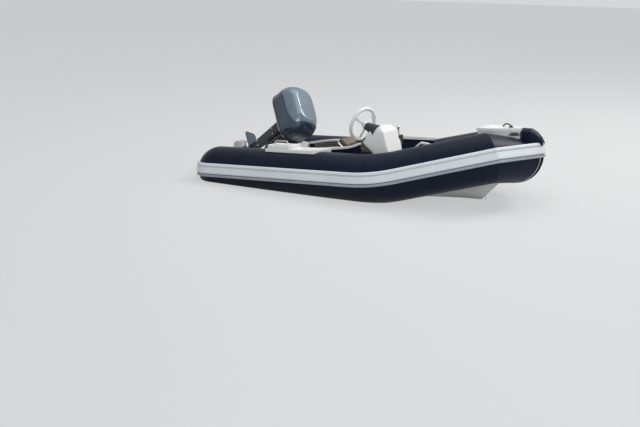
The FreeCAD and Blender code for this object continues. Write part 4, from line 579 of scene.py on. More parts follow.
def tread_group():
    """A small stud on every corner of a grid mesh, stood on its facing."""
    tree, given, out = group_with("field_of_studs", [("Size", 0.007), ("Height", 0.0012), ("Finish", None)])
    links = tree.links
    stud = add(tree, "GeometryNodeMeshCone")
    for label, value in (("Vertices", 4), ("Radius Top", 0.55), ("Radius Bottom", 1.0), ("Depth", 1.0)):
        stud.inputs[label].default_value = value
    facing = add(tree, "GeometryNodeInputNamedAttribute", data_type="FLOAT_VECTOR")
    facing.inputs["Name"].default_value = "facing"
    upright = add(tree, "FunctionNodeAlignRotationToVector", axis="Z")
    links.new(facing.outputs["Attribute"], upright.inputs["Vector"])
    size = tree.nodes.new("ShaderNodeCombineXYZ")
    for label, axis in (("Size", "X"), ("Size", "Y"), ("Height", "Z")):
        links.new(given.outputs[label], size.inputs[axis])
    place = tree.nodes.new("GeometryNodeInstanceOnPoints")
    links.new(given.outputs["Geometry"], place.inputs["Points"])
    links.new(stud.outputs["Mesh"], place.inputs["Instance"])
    links.new(upright.outputs["Rotation"], place.inputs["Rotation"])
    links.new(size.outputs["Vector"], place.inputs["Scale"])
    close_group(tree, place.outputs["Instances"], given, out)
    return tree


def close_group(tree, instances, given, out):
    """Ends a group in real geometry with its material."""
    real = tree.nodes.new("GeometryNodeRealizeInstances")
    paint = tree.nodes.new("GeometryNodeSetMaterial")
    tree.links.new(instances, real.inputs[0])
    tree.links.new(real.outputs[0], paint.inputs["Geometry"])
    tree.links.new(given.outputs["Finish"], paint.inputs["Material"])
    tree.links.new(paint.outputs[0], out.inputs[0])


def grown(group, mesh, facings, material, **inputs):
    """The mesh that a node group makes from points with their facings."""
    attribute = mesh.attributes.new("facing", "FLOAT_VECTOR", "POINT")
    attribute.data.foreach_set("vector", [c for facing in facings for c in facing])
    seed = bpy.data.objects.new("seed", mesh)
    bpy.context.scene.collection.objects.link(seed)
    modifier = seed.modifiers.new("grow", "NODES")
    modifier.node_group = group
    for item in group.interface.items_tree:
        if item.item_type == "SOCKET" and item.in_out == "INPUT":
            if item.name == "Finish":
                modifier[item.identifier] = FINISHES[material]
            elif item.name in inputs:
                modifier[item.identifier] = inputs[item.name]
    bpy.context.view_layer.update()
    graph = bpy.context.evaluated_depsgraph_get()
    made = bpy.data.meshes.new_from_object(seed.evaluated_get(graph))
    seed.modifiers.remove(modifier)
    bpy.data.objects.remove(seed)
    if not made.polygons:
        raise RuntimeError("the row or field came out empty")
    return made


def heads_along(points, ups, pitch, size, material, closed=False):
    """Stitches or screw heads at a pitch along a path; size is (along, across, up)."""
    mesh = bpy.data.meshes.new("path")
    edges = [(k, k + 1) for k in range(len(points) - 1)]
    if closed:
        edges.append((len(points) - 1, 0))
    mesh.from_pydata([tuple(p) for p in points], edges, [])
    along, across, high = size
    return grown(GROUPS["row"], mesh, ups, material, Pitch=pitch, Length=along, Width=across, Height=high)


def studs_on(tree, spots, way, size, height, material):
    """Non-slip studs where spots, sent along way, meet the surface; the others are left out."""
    met = [spot for spot in spots if tree.ray_cast(spot, Vector(way))[0] is not None]
    points, ups = run_of(tree, [(spot, way) for spot in met])
    mesh = bpy.data.meshes.new("spots")
    mesh.from_pydata([tuple(p) for p in points], [], [])
    return grown(GROUPS["tread"], mesh, ups, material, Size=size, Height=height)


GROUPS = {}


# Where things lie on the tube: rays go out from its middle line


MIDDLE_LINE = [Vector((-1.541, -0.615, 0.190)), Vector((0.20, -0.615, 0.190)), Vector((0.37, -0.606, 0.196)),
               Vector((0.54, -0.575, 0.214)), Vector((1.40, -0.283, 0.414))]


def tube_point(x):
    """The starboard tube's middle line at x, and the way it runs there."""
    for first, second in zip(MIDDLE_LINE, MIDDLE_LINE[1:]):
        if x <= second.x or second is MIDDLE_LINE[-1]:
            way = second - first
            return first + way * ((x - first.x) / way.x), way.normalized()
    raise RuntimeError("beyond the tube")


def tube_ray(x, degrees):
    """A ray from the middle line outwards; degrees go up from the outer side."""
    middle, way = tube_point(x)
    out = way.cross(Vector((0, 0, 1))).normalized()
    up = out.cross(way).normalized()
    angle = math.radians(degrees)
    return middle, out * math.cos(angle) + up * math.sin(angle)


def mirrored(points):
    """The same points on the other side of the boat."""
    return [Vector((p.x, -p.y, p.z)) for p in points]


SIDES = (("starboard", 1), ("port", -1))



def on_both_sides(name, points, ups, profile, material, closed=False, body="boat"):
    """A strip laid on the starboard side and again to port."""
    for side, sign in SIDES:
        places = points if sign > 0 else mirrored(points)
        facings = ups if sign > 0 else mirrored(ups)
        fit(f"{name}_{side}", swept(places, facings, profile, closed), BOAT, body, material)


class RIBBOAT_OT_finishes(bpy.types.Operator):
    """Makes the finishes and gives one to every solid of the boat"""

    bl_idname = "ribboat.finishes"
    bl_label = "Finishes"

    def execute(self, context):
        make_finishes()
        GROUPS["row"] = row_group()
        GROUPS["tread"] = tread_group()
        for material, names in NODE_FINISHES.items():
            for name in names:
                mesh = NODES[name].data
                mesh.materials.clear()
                mesh.materials.append(FINISHES[material])
        return {"FINISHED"}


class RIBBOAT_OT_tube_seams(bpy.types.Operator):
    """Tapes over the tubes' seams and the nose joint"""

    bl_idname = "ribboat.tube_seams"
    bl_label = "Tube seams"

    def execute(self, context):
        size = sizes()
        tube = skin(BOAT, "tube_starboard")
        profile = tape_profile(size.tape_width, size.tape_lift)
        for index, x in enumerate((-1.16, -0.42, 0.30, 0.86, 1.33)):
            rays = [tube_ray(x, 360 * k / 72) for k in range(72)]
            points, ups = run_of(tube, rays)
            on_both_sides(f"seam_tape_{index}", points, ups, profile, "tube_tape", True)
        rim = [(-1.541 - 0.246 * math.sin(math.radians(40)), 0.246 * math.cos(math.radians(40)))]
        turns = [math.radians(5 * k) for k in range(72)]
        points, ups = run_of(tube, [(Vector((-1.541, -0.615, 0.19)), Vector((
            rim[0][0] + 1.541, rim[0][1] * math.cos(a), rim[0][1] * math.sin(a)))) for a in turns])
        on_both_sides("stern_cap_tape", points, ups, profile, "tube_tape", True)
        points, ups = run_of(tube, [(Vector((-1.541, -0.615, 0.19)) - Vector((0.06, 0, 0)), Vector((
            -1.0, 0.62 * math.cos(math.radians(5 * k)), 0.62 * math.sin(math.radians(5 * k)))))
            for k in range(72)])
        on_both_sides("stern_cap_ring", points, ups, tape_profile(0.018, 0.0014), "tube_tape", True)
        nose = skin(BOAT, "tube_starboard", "tube_port")
        turns = [math.radians(a) for a in range(4, -112, -4)]
        lower = [(Vector((1.60, -0.012, 0.40)), Vector((math.cos(a), 0, math.sin(a)))) for a in turns]
        points, ups = run_of(nose, lower)
        fit("nose_joint_tape", swept(points, ups, tape_profile(0.05, 0.0014)), BOAT, "boat", "tube_tape")
        points, ups = run_of(nose, [(start + Vector((0, -0.014, 0)), way) for start, way in lower])
        piping = swept(points, ups, bead_profile(0.0035, 0.001))
        fit("nose_joint_piping", piping, BOAT, "boat", "white_rubber")
        return {"FINISHED"}


class RIBBOAT_OT_tube_fittings(bpy.types.Operator):
    """Inflation valves and ring patches on the inner faces of the tubes"""

    bl_idname = "ribboat.tube_fittings"
    bl_label = "Tube fittings"

    def execute(self, context):
        tube = skin(BOAT, "tube_starboard")
        radius = sizes().valve
        for index, (x, angle) in enumerate(((-1.30, 118), (0.62, 128), (1.02, 120))):
            start, way = tube_ray(x, angle)
            point, up = land(tube, start, way)
            self.valve(f"valve_{index}", point, up, radius)
        for index, (x, angle) in enumerate(((-1.36, 142), (1.06, 138))):
            start, way = tube_ray(x, angle)
            point, up = land(tube, start, way)
            self.ring_patch(f"ring_patch_{index}", point, up, tube)
        return {"FINISHED"}

    def valve(self, name, point, up, radius):
        """A screwed valve cap in a flat collar."""
        cap = [(0, 0.013), (radius * 0.50, 0.0125), (radius * 0.56, 0.011), (radius * 0.58, 0.005),
               (radius * 0.98, 0.004), (radius, 0.0025), (radius, -0.002), (0, -0.002)]
        grips = [moved(slab(round_outline(0.006, 0.003, 0.001, 2), 0.006, 0.0006, 1),
                       turn(30 * k, "Z") @ shift(radius * 0.57, 0, 0.006)) for k in range(12)]
        mesh = joined([turned(cap, 40)] + grips)
        patch = slab(round_outline(radius * 3.4, radius * 3.4, radius * 1.69, 10), 0.0014, 0.0007, 1)
        for side, sign in SIDES:
            where = Vector((point.x, point.y * sign, point.z))
            facing = Vector((up.x, up.y * sign, up.z))
            place = BOAT @ seat(where, facing, (1, 0, 0))
            fit(f"{name}_cap_{side}", mesh.copy(), place @ shift(0, 0, 0.0006), "boat", "black_plastic")
            fit(f"{name}_patch_{side}", patch.copy(), place @ shift(0, 0, -0.0006), "boat", "tube_tape")

    def ring_patch(self, name, point, up, tube):
        """A round rubber patch with a loop that holds a steel ring lying down."""
        patch = [(0, 0.0035), (0.030, 0.003), (0.042, 0.0014), (0.043, -0.002), (0, -0.002)]
        loop = swept([Vector((-0.016, 0, 0.003)), Vector((-0.008, 0, 0.0095)), Vector((0.008, 0, 0.0095)),
                      Vector((0.016, 0, 0.003))], [Vector((-1, 0, 1)), Vector((0, 0, 1)), Vector((0, 0, 1)),
                                                   Vector((1, 0, 1))],
                     [(-0.014, 0), (-0.014, 0.002), (0.014, 0.002), (0.014, 0)])
        ring = []
        for k in range(36):
            angle = math.radians(10 * k)
            ring.append(Vector((0.019 * math.sin(angle) + 0.018, 0.021 * math.cos(angle), 0.0065)))
        steel = swept(ring, [Vector((0, 0, 1))] * 36, bead_profile(0.0028, 0, 8), True)
        for side, sign in SIDES:
            where = Vector((point.x, point.y * sign, point.z))
            facing = Vector((up.x, up.y * sign, up.z))
            place = BOAT @ seat(where, facing, (1, 0, 0))
            fit(f"{name}_{side}", joined([turned(patch, 36), loop.copy()]), place, "boat", "grey_rubber")
            fit(f"{name}_steel_{side}", steel.copy(), place, "boat", "stainless")


class RIBBOAT_OT_strake_trim(bpy.types.Operator):
    """Beads along the rubbing strakes, and a grey line of painted shadow under the upper ridge"""

    bl_idname = "ribboat.strake_trim"
    bl_label = "Strake trim"

    def execute(self, context):
        strake = skin(BOAT, "rub_strake_starboard")
        lines = (("upper_bead", 8.8, 12.3, 0.0016), ("lower_bead", 3.2, 6.7, 0.0016))
        for name, side_angle, bow_angle, radius in lines:
            stations = [-1.53 + 0.05 * k for k in range(58)]
            rays = []
            for x in stations:
                rise = min(1, max(0, (x - 0.37) / 1.03))
                rays.append(tube_ray(x, side_angle + (bow_angle - side_angle) * rise))
            points, ups = run_of(strake, rays)
            on_both_sides(f"strake_{name}", points, ups, bead_profile(radius, 0, 8), "white_rubber")
        # A thin grey rubber strip where the ridge's shadow falls: painted shade.
        rays = [tube_ray(x, 15.1 + 3.5 * min(1, max(0, (x - 0.37) / 1.03))) for x in stations]
        points, ups = run_of(strake, rays)
        on_both_sides("strake_shadow_line", points, ups, tape_profile(0.008, 0.0006), "grey_rubber")
        return {"FINISHED"}


class RIBBOAT_OT_coaming_trim(bpy.types.Operator):
    """Screws in the coaming bars"""

    bl_idname = "ribboat.coaming_trim"
    bl_label = "Coaming trim"

    def execute(self, context):
        bars = skin(BOAT, "coaming")
        size = sizes()
        head = (size.screw_head, size.screw_head, 0.0036)
        for side, sign, front in (("starboard", -1, 0.02), ("port", 1, 0.46)):
            spots = [-1.02 + (front + 1.02) * k / 40 for k in range(41)]
            points, ups = run_of(bars, [(Vector((x, 0.417 * sign, 0.9)), Vector((0, 0, -1))) for x in spots])
            fit(f"coaming_screws_{side}", heads_along(points, ups, 0.17, head, "stainless"), BOAT, "boat",
                "stainless")
        return {"FINISHED"}


# Cushions: swelled by cloth simulation, then piped and stitched


STITCH = (0.0075, 0.0016, 0.0013)


def swelled(name, cap, voxel=0.005, rest=None, side=0, crown=0.006):
    """A copy of a soft solid, filled by cloth pressure; no point moves further than cap.

    rest is (axis, side): the face on that side of the boat frame stays flat. With a side of -1 or 1 only
    the solids to starboard or to port are taken. crown is how far the top may rise.
    """
    source = NODES[name].data
    mesh = source.copy()
    mesh.transform(BOAT.inverted())
    drawing = bmesh.new()
    drawing.from_mesh(mesh)
    if side:
        bmesh.ops.delete(drawing, geom=[v for v in drawing.verts if v.co.y * side < 0], context="VERTS")
    bmesh.ops.remove_doubles(drawing, verts=drawing.verts, dist=1e-5)
    drawing.to_mesh(mesh)
    drawing.free()
    thing = bpy.data.objects.new("soft", mesh)
    bpy.context.scene.collection.objects.link(thing)
    low = [min(v.co[i] for v in mesh.vertices) for i in range(3)]
    high = [max(v.co[i] for v in mesh.vertices) for i in range(3)]
    middle = [(a + b) / 2 for a, b in zip(low, high)]
    for vertex in mesh.vertices:
        for i in range(3):
            reach = (high[i] - low[i]) / 2
            inset = min(cap * 0.45, reach * 0.3)
            vertex.co[i] = middle[i] + (vertex.co[i] - middle[i]) * (reach - inset) / reach
    remesh = thing.modifiers.new("even", "REMESH")
    remesh.mode = "VOXEL"
    remesh.voxel_size = voxel
    settle(thing)
    start = [v.co.copy() for v in thing.data.vertices]
    cloth = thing.modifiers.new("fill", "CLOTH")
    cloth.settings.use_pressure = True
    cloth.settings.uniform_pressure_force = 4.0
    cloth.settings.effector_weights.gravity = 0.0
    cloth.settings.quality = 5
    cloth.settings.tension_stiffness = 12
    cloth.settings.compression_stiffness = 12
    cloth.point_cache.frame_start = 1
    cloth.point_cache.frame_end = 20
    for step in range(1, 21):
        bpy.context.scene.frame_set(step)
    settle(thing)
    bpy.context.scene.frame_set(1)
    for vertex, before in zip(thing.data.vertices, start):
        move = vertex.co - before
        if move.length > cap:
            vertex.co = before + move.normalized() * cap
        for i in range(3):
            vertex.co[i] = min(max(vertex.co[i], low[i] - 0.001), high[i] + (crown if i == 2 else 0.001))
    if rest:
        axis, side = rest
        edge = low[axis] if side < 0 else high[axis]
        for vertex in thing.data.vertices:
            if (vertex.co[axis] - edge) * side > -0.004:
                vertex.co[axis] = edge
    divide = thing.modifiers.new("ease", "SUBSURF")
    divide.levels = divide.render_levels = 1
    settle(thing)
    made = thing.data.copy()
    bpy.data.objects.remove(thing)
    return made, Vector(low), Vector(high)


def settle(thing):
    """Makes the modifiers' result the mesh itself."""
    bpy.context.view_layer.update()
    graph = bpy.context.evaluated_depsgraph_get()
    made = bpy.data.meshes.new_from_object(thing.evaluated_get(graph))
    thing.modifiers.clear()
    thing.data = made


class RIBBOAT_OT_cushions(bpy.types.Operator):
    """Helm seat, bench and backrest cushions and the side padding, with their welts and stitches; the side
    padding's dark vinyl is painted shade of the cockpit walls
    """

    bl_idname = "ribboat.cushions"
    bl_label = "Cushions"

    def execute(self, context):
        cap = sizes().swell
        self.cushion("helm_seat_cushion", "boat", cap, (2, -1), 0.014)
        self.cushion("aft_bench_cushion", "bench_lid", cap, (2, -1), 0.014)
        self.backrest(cap)
        # The side padding: dark vinyl that paints the shade on the cockpit walls.
        self.shaded_wall_padding(cap * 0.7)
        return {"FINISHED"}

    def backrest(self, cap):
        """The backrest's pad, with a row of stitches across its front."""
        mesh, low, high = swelled("backrest_pad", cap * 0.6, 0.004, None, 0, 0.001)
        pad = fit("backrest_pad_cover", mesh, BOAT, "backrest", "vinyl", smooth=None)
        pad.data.shade_smooth()
        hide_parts("backrest_pad")
        tree = skin(BOAT, pad)
        width = high.y - low.y
        level = low.z + (high.z - low.z) * 0.62
        spots = [Vector((low.x - 0.2, low.y + width * (0.12 + 0.76 * k / 16), level)) for k in range(17)]
        points, ups = run_of(tree, [(spot, Vector((1, 0, 0))) for spot in spots])
        stitches = heads_along(points, ups, sizes().stitch_pitch, STITCH, "thread")
        fit("backrest_pad_stitches", stitches, BOAT, "backrest", "thread")

    def shaded_wall_padding(self, cap):
        """The padding along both sides, flat against its boards, quilted by a line of stitches; its dark
        olive vinyl is painted shade of the cockpit walls.
        """
        made = [swelled("side_bolsters", cap, 0.008, (1, side), side, 0.001) for side in (-1, 1)]
        pad = fit("shaded_wall_padding_cover", joined([m[0] for m in made]), BOAT, "boat", "vinyl", smooth=None)
        pad.data.shade_smooth()
        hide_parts("side_bolsters")
        tree = skin(BOAT, pad)
        for (side, label), (_, low, high) in zip(((-1, "starboard"), (1, "port")), made):
            run = [low.x + (high.x - low.x) * (0.06 + 0.88 * k / 40) for k in range(41)]
            hits = []
            for x in run:
                column = [tree.ray_cast(Vector((x, 0.0, low.z + (high.z - low.z) * t)), Vector((0, side, 0)))
                          for t in (0.2, 0.3, 0.4, 0.5, 0.6, 0.7, 0.8)]
                column = [h for h in column if h[0] is not None]
                if column:
                    hit = column[len(column) // 2]
                    hits.append((hit[0], hit[1] if hit[1].y * side < 0 else -hit[1]))
            points, ups = [h[0] for h in hits], [h[1] for h in hits]
            stitches = heads_along(points, ups, sizes().stitch_pitch, STITCH, "thread")
            fit(f"shaded_wall_padding_stitches_{label}", stitches, BOAT, "boat", "thread")

    def cushion(self, node, body, cap, rest, corner):
        """One boxed cushion: crowned top, welt round its upper edge, stitches beside it."""
        mesh, low, high = swelled(node, cap, 0.005, rest)
        pad = fit(f"{node}_cover", mesh, BOAT, body, "vinyl", smooth=None)
        pad.data.shade_smooth()
        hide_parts(node)
        tree = skin(BOAT, pad)
        middle = (low + high) / 2
        wide, deep = high.x - low.x, high.y - low.y
        outline = round_outline(wide, deep, 0.03, 8)
        welts = (("upper", high.z - corner, sizes().welt), ("lower", low.z + 0.008, 0.0022))
        for label, level, radius in welts:
            points, ups = run_of(tree, [(Vector((middle.x + x * 1.5, middle.y + y * 1.5, level)),
                                         Vector((-x, -y, 0))) for x, y in outline])
            piping = swept(points, ups, bead_profile(radius, 0, 8), True)
            fit(f"{node}_welt_{label}", piping, BOAT, body, "vinyl")
        points, ups = run_of(tree, [(Vector((middle.x + x * 0.86, middle.y + y * 0.86, high.z + 0.1)),
                                     Vector((0, 0, -1))) for x, y in outline])
        stitches = heads_along(points, ups, sizes().stitch_pitch, STITCH, "thread", True)
        fit(f"{node}_stitches", stitches, BOAT, body, "thread")


class RIBBOAT_OT_deck_trim(bpy.types.Operator):
    """Non-slip studs on the floor and the hatch, and the handle on the hatch"""

    bl_idname = "ribboat.deck_trim"
    bl_label = "Deck trim"

    def execute(self, context):
        pitch = sizes().tread_pitch
        floor = skin(BOAT, "cockpit_floor")
        spots = []
        for i in range(int(1.9 / pitch)):
            for j in range(-20, 21):
                x, y = -0.94 + i * pitch, (j + 0.5 * (i % 2)) * pitch
                half = 0.40 if x < 0.40 else 0.40 - (x - 0.40) * 0.36
                if abs(y) < half and not self.covered(x, y):
                    spots.append(Vector((x, y, 0.112)))
        tread = studs_on(floor, spots, (0, 0, -1), pitch * 0.3, 0.0012, "deck_gelcoat")
        fit("floor_tread", tread, BOAT, "boat", "deck_gelcoat", smooth=None)
        hatch = skin(BOAT, "bow_hatch")
        spots = []
        step = pitch * 0.7
        for i in range(int(0.33 / step)):
            for j in range(-10, 11):
                x, y = 1.255 + i * step, (j + 0.5 * (i % 2)) * step
                half = 0.125 if x < 1.40 else 0.125 - (x - 1.40) * 0.4
                by_handle = abs(x - 1.455) < 0.055 and abs(y - 0.045) < 0.02
                if abs(y) < half and not by_handle and not (x > 1.49 and abs(y + 0.01) < 0.045):
                    spots.append(Vector((x, y, 0.8)))
        fit("hatch_tread", studs_on(hatch, spots, (0, 0, -1), step * 0.3, 0.001, "gelcoat"), BOAT, "hatch",
            "gelcoat", smooth=None)
        self.handle()
        return {"FINISHED"}

    def covered(self, x, y):
        """Whether the seat, the bench or the console stands there."""
        return ((-0.345 < x < -0.045 and -0.25 < y < 0.01) or (-0.755 < x < -0.435 and abs(y) < 0.37)
                or (0.20 < x < 0.45 and -0.41 < y < -0.01) or x < -0.95)

    def handle(self):
        """A low arched handle on the hatch, on two feet."""
        top = 0.656 + 0.001 + 0.028
        middle, half, across = 1.455, 0.036, 0.045
        arch = [Vector((middle + half * math.cos(math.radians(a)), across, top + 0.002 +
                        0.024 * math.sin(math.radians(a)))) for a in range(180, -1, -12)]
        ups = [Vector((0, 1, 0))] * len(arch)
        feet = [moved(turned([(0, 0.004), (0.011, 0.0035), (0.013, 0.001), (0.013, -0.001), (0, -0.001)], 24),
                      shift(middle + half * s, across, top)) for s in (-1, 1)]
        fit("hatch_handle", joined([swept(arch, ups, bead_profile(0.0070, 0, 12))] + feet), BOAT, "hatch",
            "black_plastic")


class RIBBOAT_OT_console_trim(bpy.types.Operator):
    """The console moulding with its dials and switches, and the steering wheel"""

    bl_idname = "ribboat.console_trim"
    bl_label = "Console trim"

    def execute(self, context):
        moulding = self.moulding()
        console = skin(BOAT, moulding)
        radius = sizes().dial
        for index, (x, y) in enumerate(((0.118, -0.315), (0.118, -0.10), (0.105, -0.155))):
            point, up = land(console, (x - 0.5, y, 0.62 - 0.09 * (index == 2)), (1, 0, -0.1))
            small = 0.62 if index == 2 else 1.0
            self.dial(f"dial_{index}", point, up, radius * small, (0.6, 2.4, 4.1)[index])
        point, up = land(console, (-0.4, -0.315, 0.545), (1, 0, 0.02))
        self.switches(point, up)
        foot = [Vector((0.200 + 0.150 * k / 12, -0.6, 0.420 + 0.046 * math.sin(math.pi * 0.62 * k / 12)))
                for k in range(13)]
        points, ups = run_of(console, [(spot, (0, 1, 0)) for spot in foot])
        fit("console_moulded_line", swept(points, ups, bead_profile(0.0022, 0, 8)), BOAT, "boat", "gelcoat")
        spots = [Vector((0.235 + 0.01 * k, -0.022, 0.2)) for k in range(5)]
        points, ups = run_of(console, [(spot, (0, 0, -1)) for spot in spots])
        fit("console_foot_screws", heads_along(points, ups, 0.035, (0.009, 0.009, 0.0036), "stainless"), BOAT,
            "boat", "stainless")
        self.wheel()
        return {"FINISHED"}

    def moulding(self):
        """The console with softly rounded edges, as it comes out of its mould."""
        mesh = NODES["console"].data.copy()
        mesh.transform(BOAT.inverted())
        thing = bpy.data.objects.new("soft", mesh)
        bpy.context.scene.collection.objects.link(thing)
        even = thing.modifiers.new("even", "REMESH")
        even.mode = "VOXEL"
        even.voxel_size = 0.006
        ease = thing.modifiers.new("ease", "SMOOTH")
        ease.factor = 0.5
        ease.iterations = 14
        settle(thing)
        made = thing.data.copy()
        bpy.data.objects.remove(thing)
        shell = fit("console_moulding", made, BOAT, "boat", "gelcoat", smooth=None)
        shell.data.shade_smooth()
        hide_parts("console")
        return shell

    def dial(self, name, point, up, radius, needle):
        """A round gauge: bezel, pale face with ticks and a needle."""
        place = BOAT @ seat(point, up, (0, 1, 0))
        bezel = turned([(radius * 0.86, 0.004), (radius * 0.88, 0.0065), (radius * 0.97, 0.0065),
                        (radius, 0.004), (radius, -0.004), (radius * 0.86, -0.004)], 40)
        bezel_lid = turned([(0, 0.0030), (radius * 0.87, 0.0030), (radius * 0.87, -0.003), (0, -0.003)], 40)
        fit(f"{name}_bezel", bezel, place, "boat", "stainless")
        fit(f"{name}_face", bezel_lid, place, "boat", "dial_face")
        tick = round_outline(radius * 0.16, radius * 0.035, radius * 0.012, 1)
        marks = [moved(slab(tick, 0.0008, 0.0002, 1),
                       turn(225 - 27 * k, "Z") @ shift(radius * 0.72, 0, 0.0029)) for k in range(11)]
        hand = [(-radius * 0.14, -radius * 0.04), (radius * 0.62, -radius * 0.012),
                (radius * 0.62, radius * 0.012), (-radius * 0.14, radius * 0.04)]
        marks.append(moved(slab(hand, 0.001, 0.0002, 1),
                           turn(math.degrees(needle), "Z") @ shift(0, 0, 0.0036)))
        marks.append(turned([(0, 0.0052), (radius * 0.09, 0.0050), (radius * 0.11, 0.0028), (0, 0.0028)], 20))
        fit(f"{name}_marks", joined(marks), place, "boat", "black_plastic")

    def switches(self, point, up):
        """A black panel with a row of rocker switches and a key switch."""
        place = BOAT @ seat(point, up, (0, 1, 0))
        panel = [moved(slab(round_outline(0.12, 0.034, 0.004), 0.003, 0.001), shift(0, 0, -0.0008))]
        for k in range(4):
            rocker = slab(round_outline(0.015, 0.024, 0.0015, 2), 0.005, 0.0012)
            panel.append(moved(rocker, shift(-0.045 + 0.021 * k, 0, 0.002) @ turn(9 if k % 2 else -9, "X")))
        collar = turned([(0, 0.007), (0.006, 0.007), (0.0095, 0.0045), (0.010, -0.001), (0, -0.001)], 24)
        panel.append(moved(collar, shift(0.047, 0, 0.002)))
        fit("switch_panel", joined(panel), place, "boat", "black_plastic")
        button = turned([(0, 0.012), (0.006, 0.0115), (0.0075, 0.009), (0.0075, 0.0), (0, 0.0)], 24)
        raised = place @ shift(0.047, 0, 0.0085)
        fit("stop_switch", button, raised, "boat", "red_plastic")

    def wheel(self):
        """The steering wheel: thick moulded rim, three broad dished spokes, hub, cap and shaft."""
        rim = [Vector((0.1645 * math.cos(math.radians(4 * k)), 0.1645 * math.sin(math.radians(4 * k)), 0))
               for k in range(90)]
        ring = swept(rim, [Vector((0, 0, 1))] * 90, bead_profile(0.0185, 0, 24), True)
        spokes = []
        for index in range(3):
            points, widths = [], []
            for k in range(13):
                t = k / 12
                drop = -0.040 * (1 - t * t * (3 - 2 * t))
                points.append(Vector((0.020 + 0.138 * t, 0, drop)))
                widths.append(0.019 - 0.006 * math.sin(math.pi * t) + 0.004 * t)
            spokes.append(moved(self.spoke(points, widths), turn(30 + 120 * index, "Z")))
        hub = turned([(0, -0.024), (0.030, -0.025), (0.037, -0.030), (0.038, -0.050), (0.033, -0.060),
                      (0.010, -0.0605), (0.010, -0.131), (0, -0.131)], 48)
        wheel = fit("wheel_moulding", joined([ring, hub] + spokes), COLUMN, "helm_wheel", "white_plastic")
        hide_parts("steering_wheel")
        cap = [(0, -0.014), (0.010, -0.0145), (0.020, -0.018), (0.026, -0.0235), (0.0265, -0.028),
               (0, -0.028)]
        fit("wheel_cap", turned(cap, 40), COLUMN, "helm_wheel", "black_plastic")
        seam = [p * (0.1458 / 0.1645) for p in rim]
        line = swept(seam, [-p.normalized() for p in rim], bead_profile(0.0016, 0, 8), True)
        fit("wheel_rim_seam", line, COLUMN, "helm_wheel", "white_plastic")

    def spoke(self, points, widths):
        """A flat bar with eased edges whose half width changes along points in the XZ plane."""
        def build(drawing):
            rings = []
            for point, half in zip(points, widths):
                rings.append([drawing.verts.new(point + Vector((0, y, z))) for y, z in (
                    (-half, -0.002), (-half, 0.002), (-half + 0.003, 0.0052), (half - 0.003, 0.0052),
                    (half, 0.002), (half, -0.002), (half - 0.003, -0.0052), (-half + 0.003, -0.0052))])
            for first, second in zip(rings, rings[1:]):
                for k in range(8):
                    drawing.faces.new((first[k], first[(k + 1) % 8], second[(k + 1) % 8], second[k]))
            drawing.faces.new(rings[0])
            drawing.faces.new(rings[-1])
        return mesh_of(build)


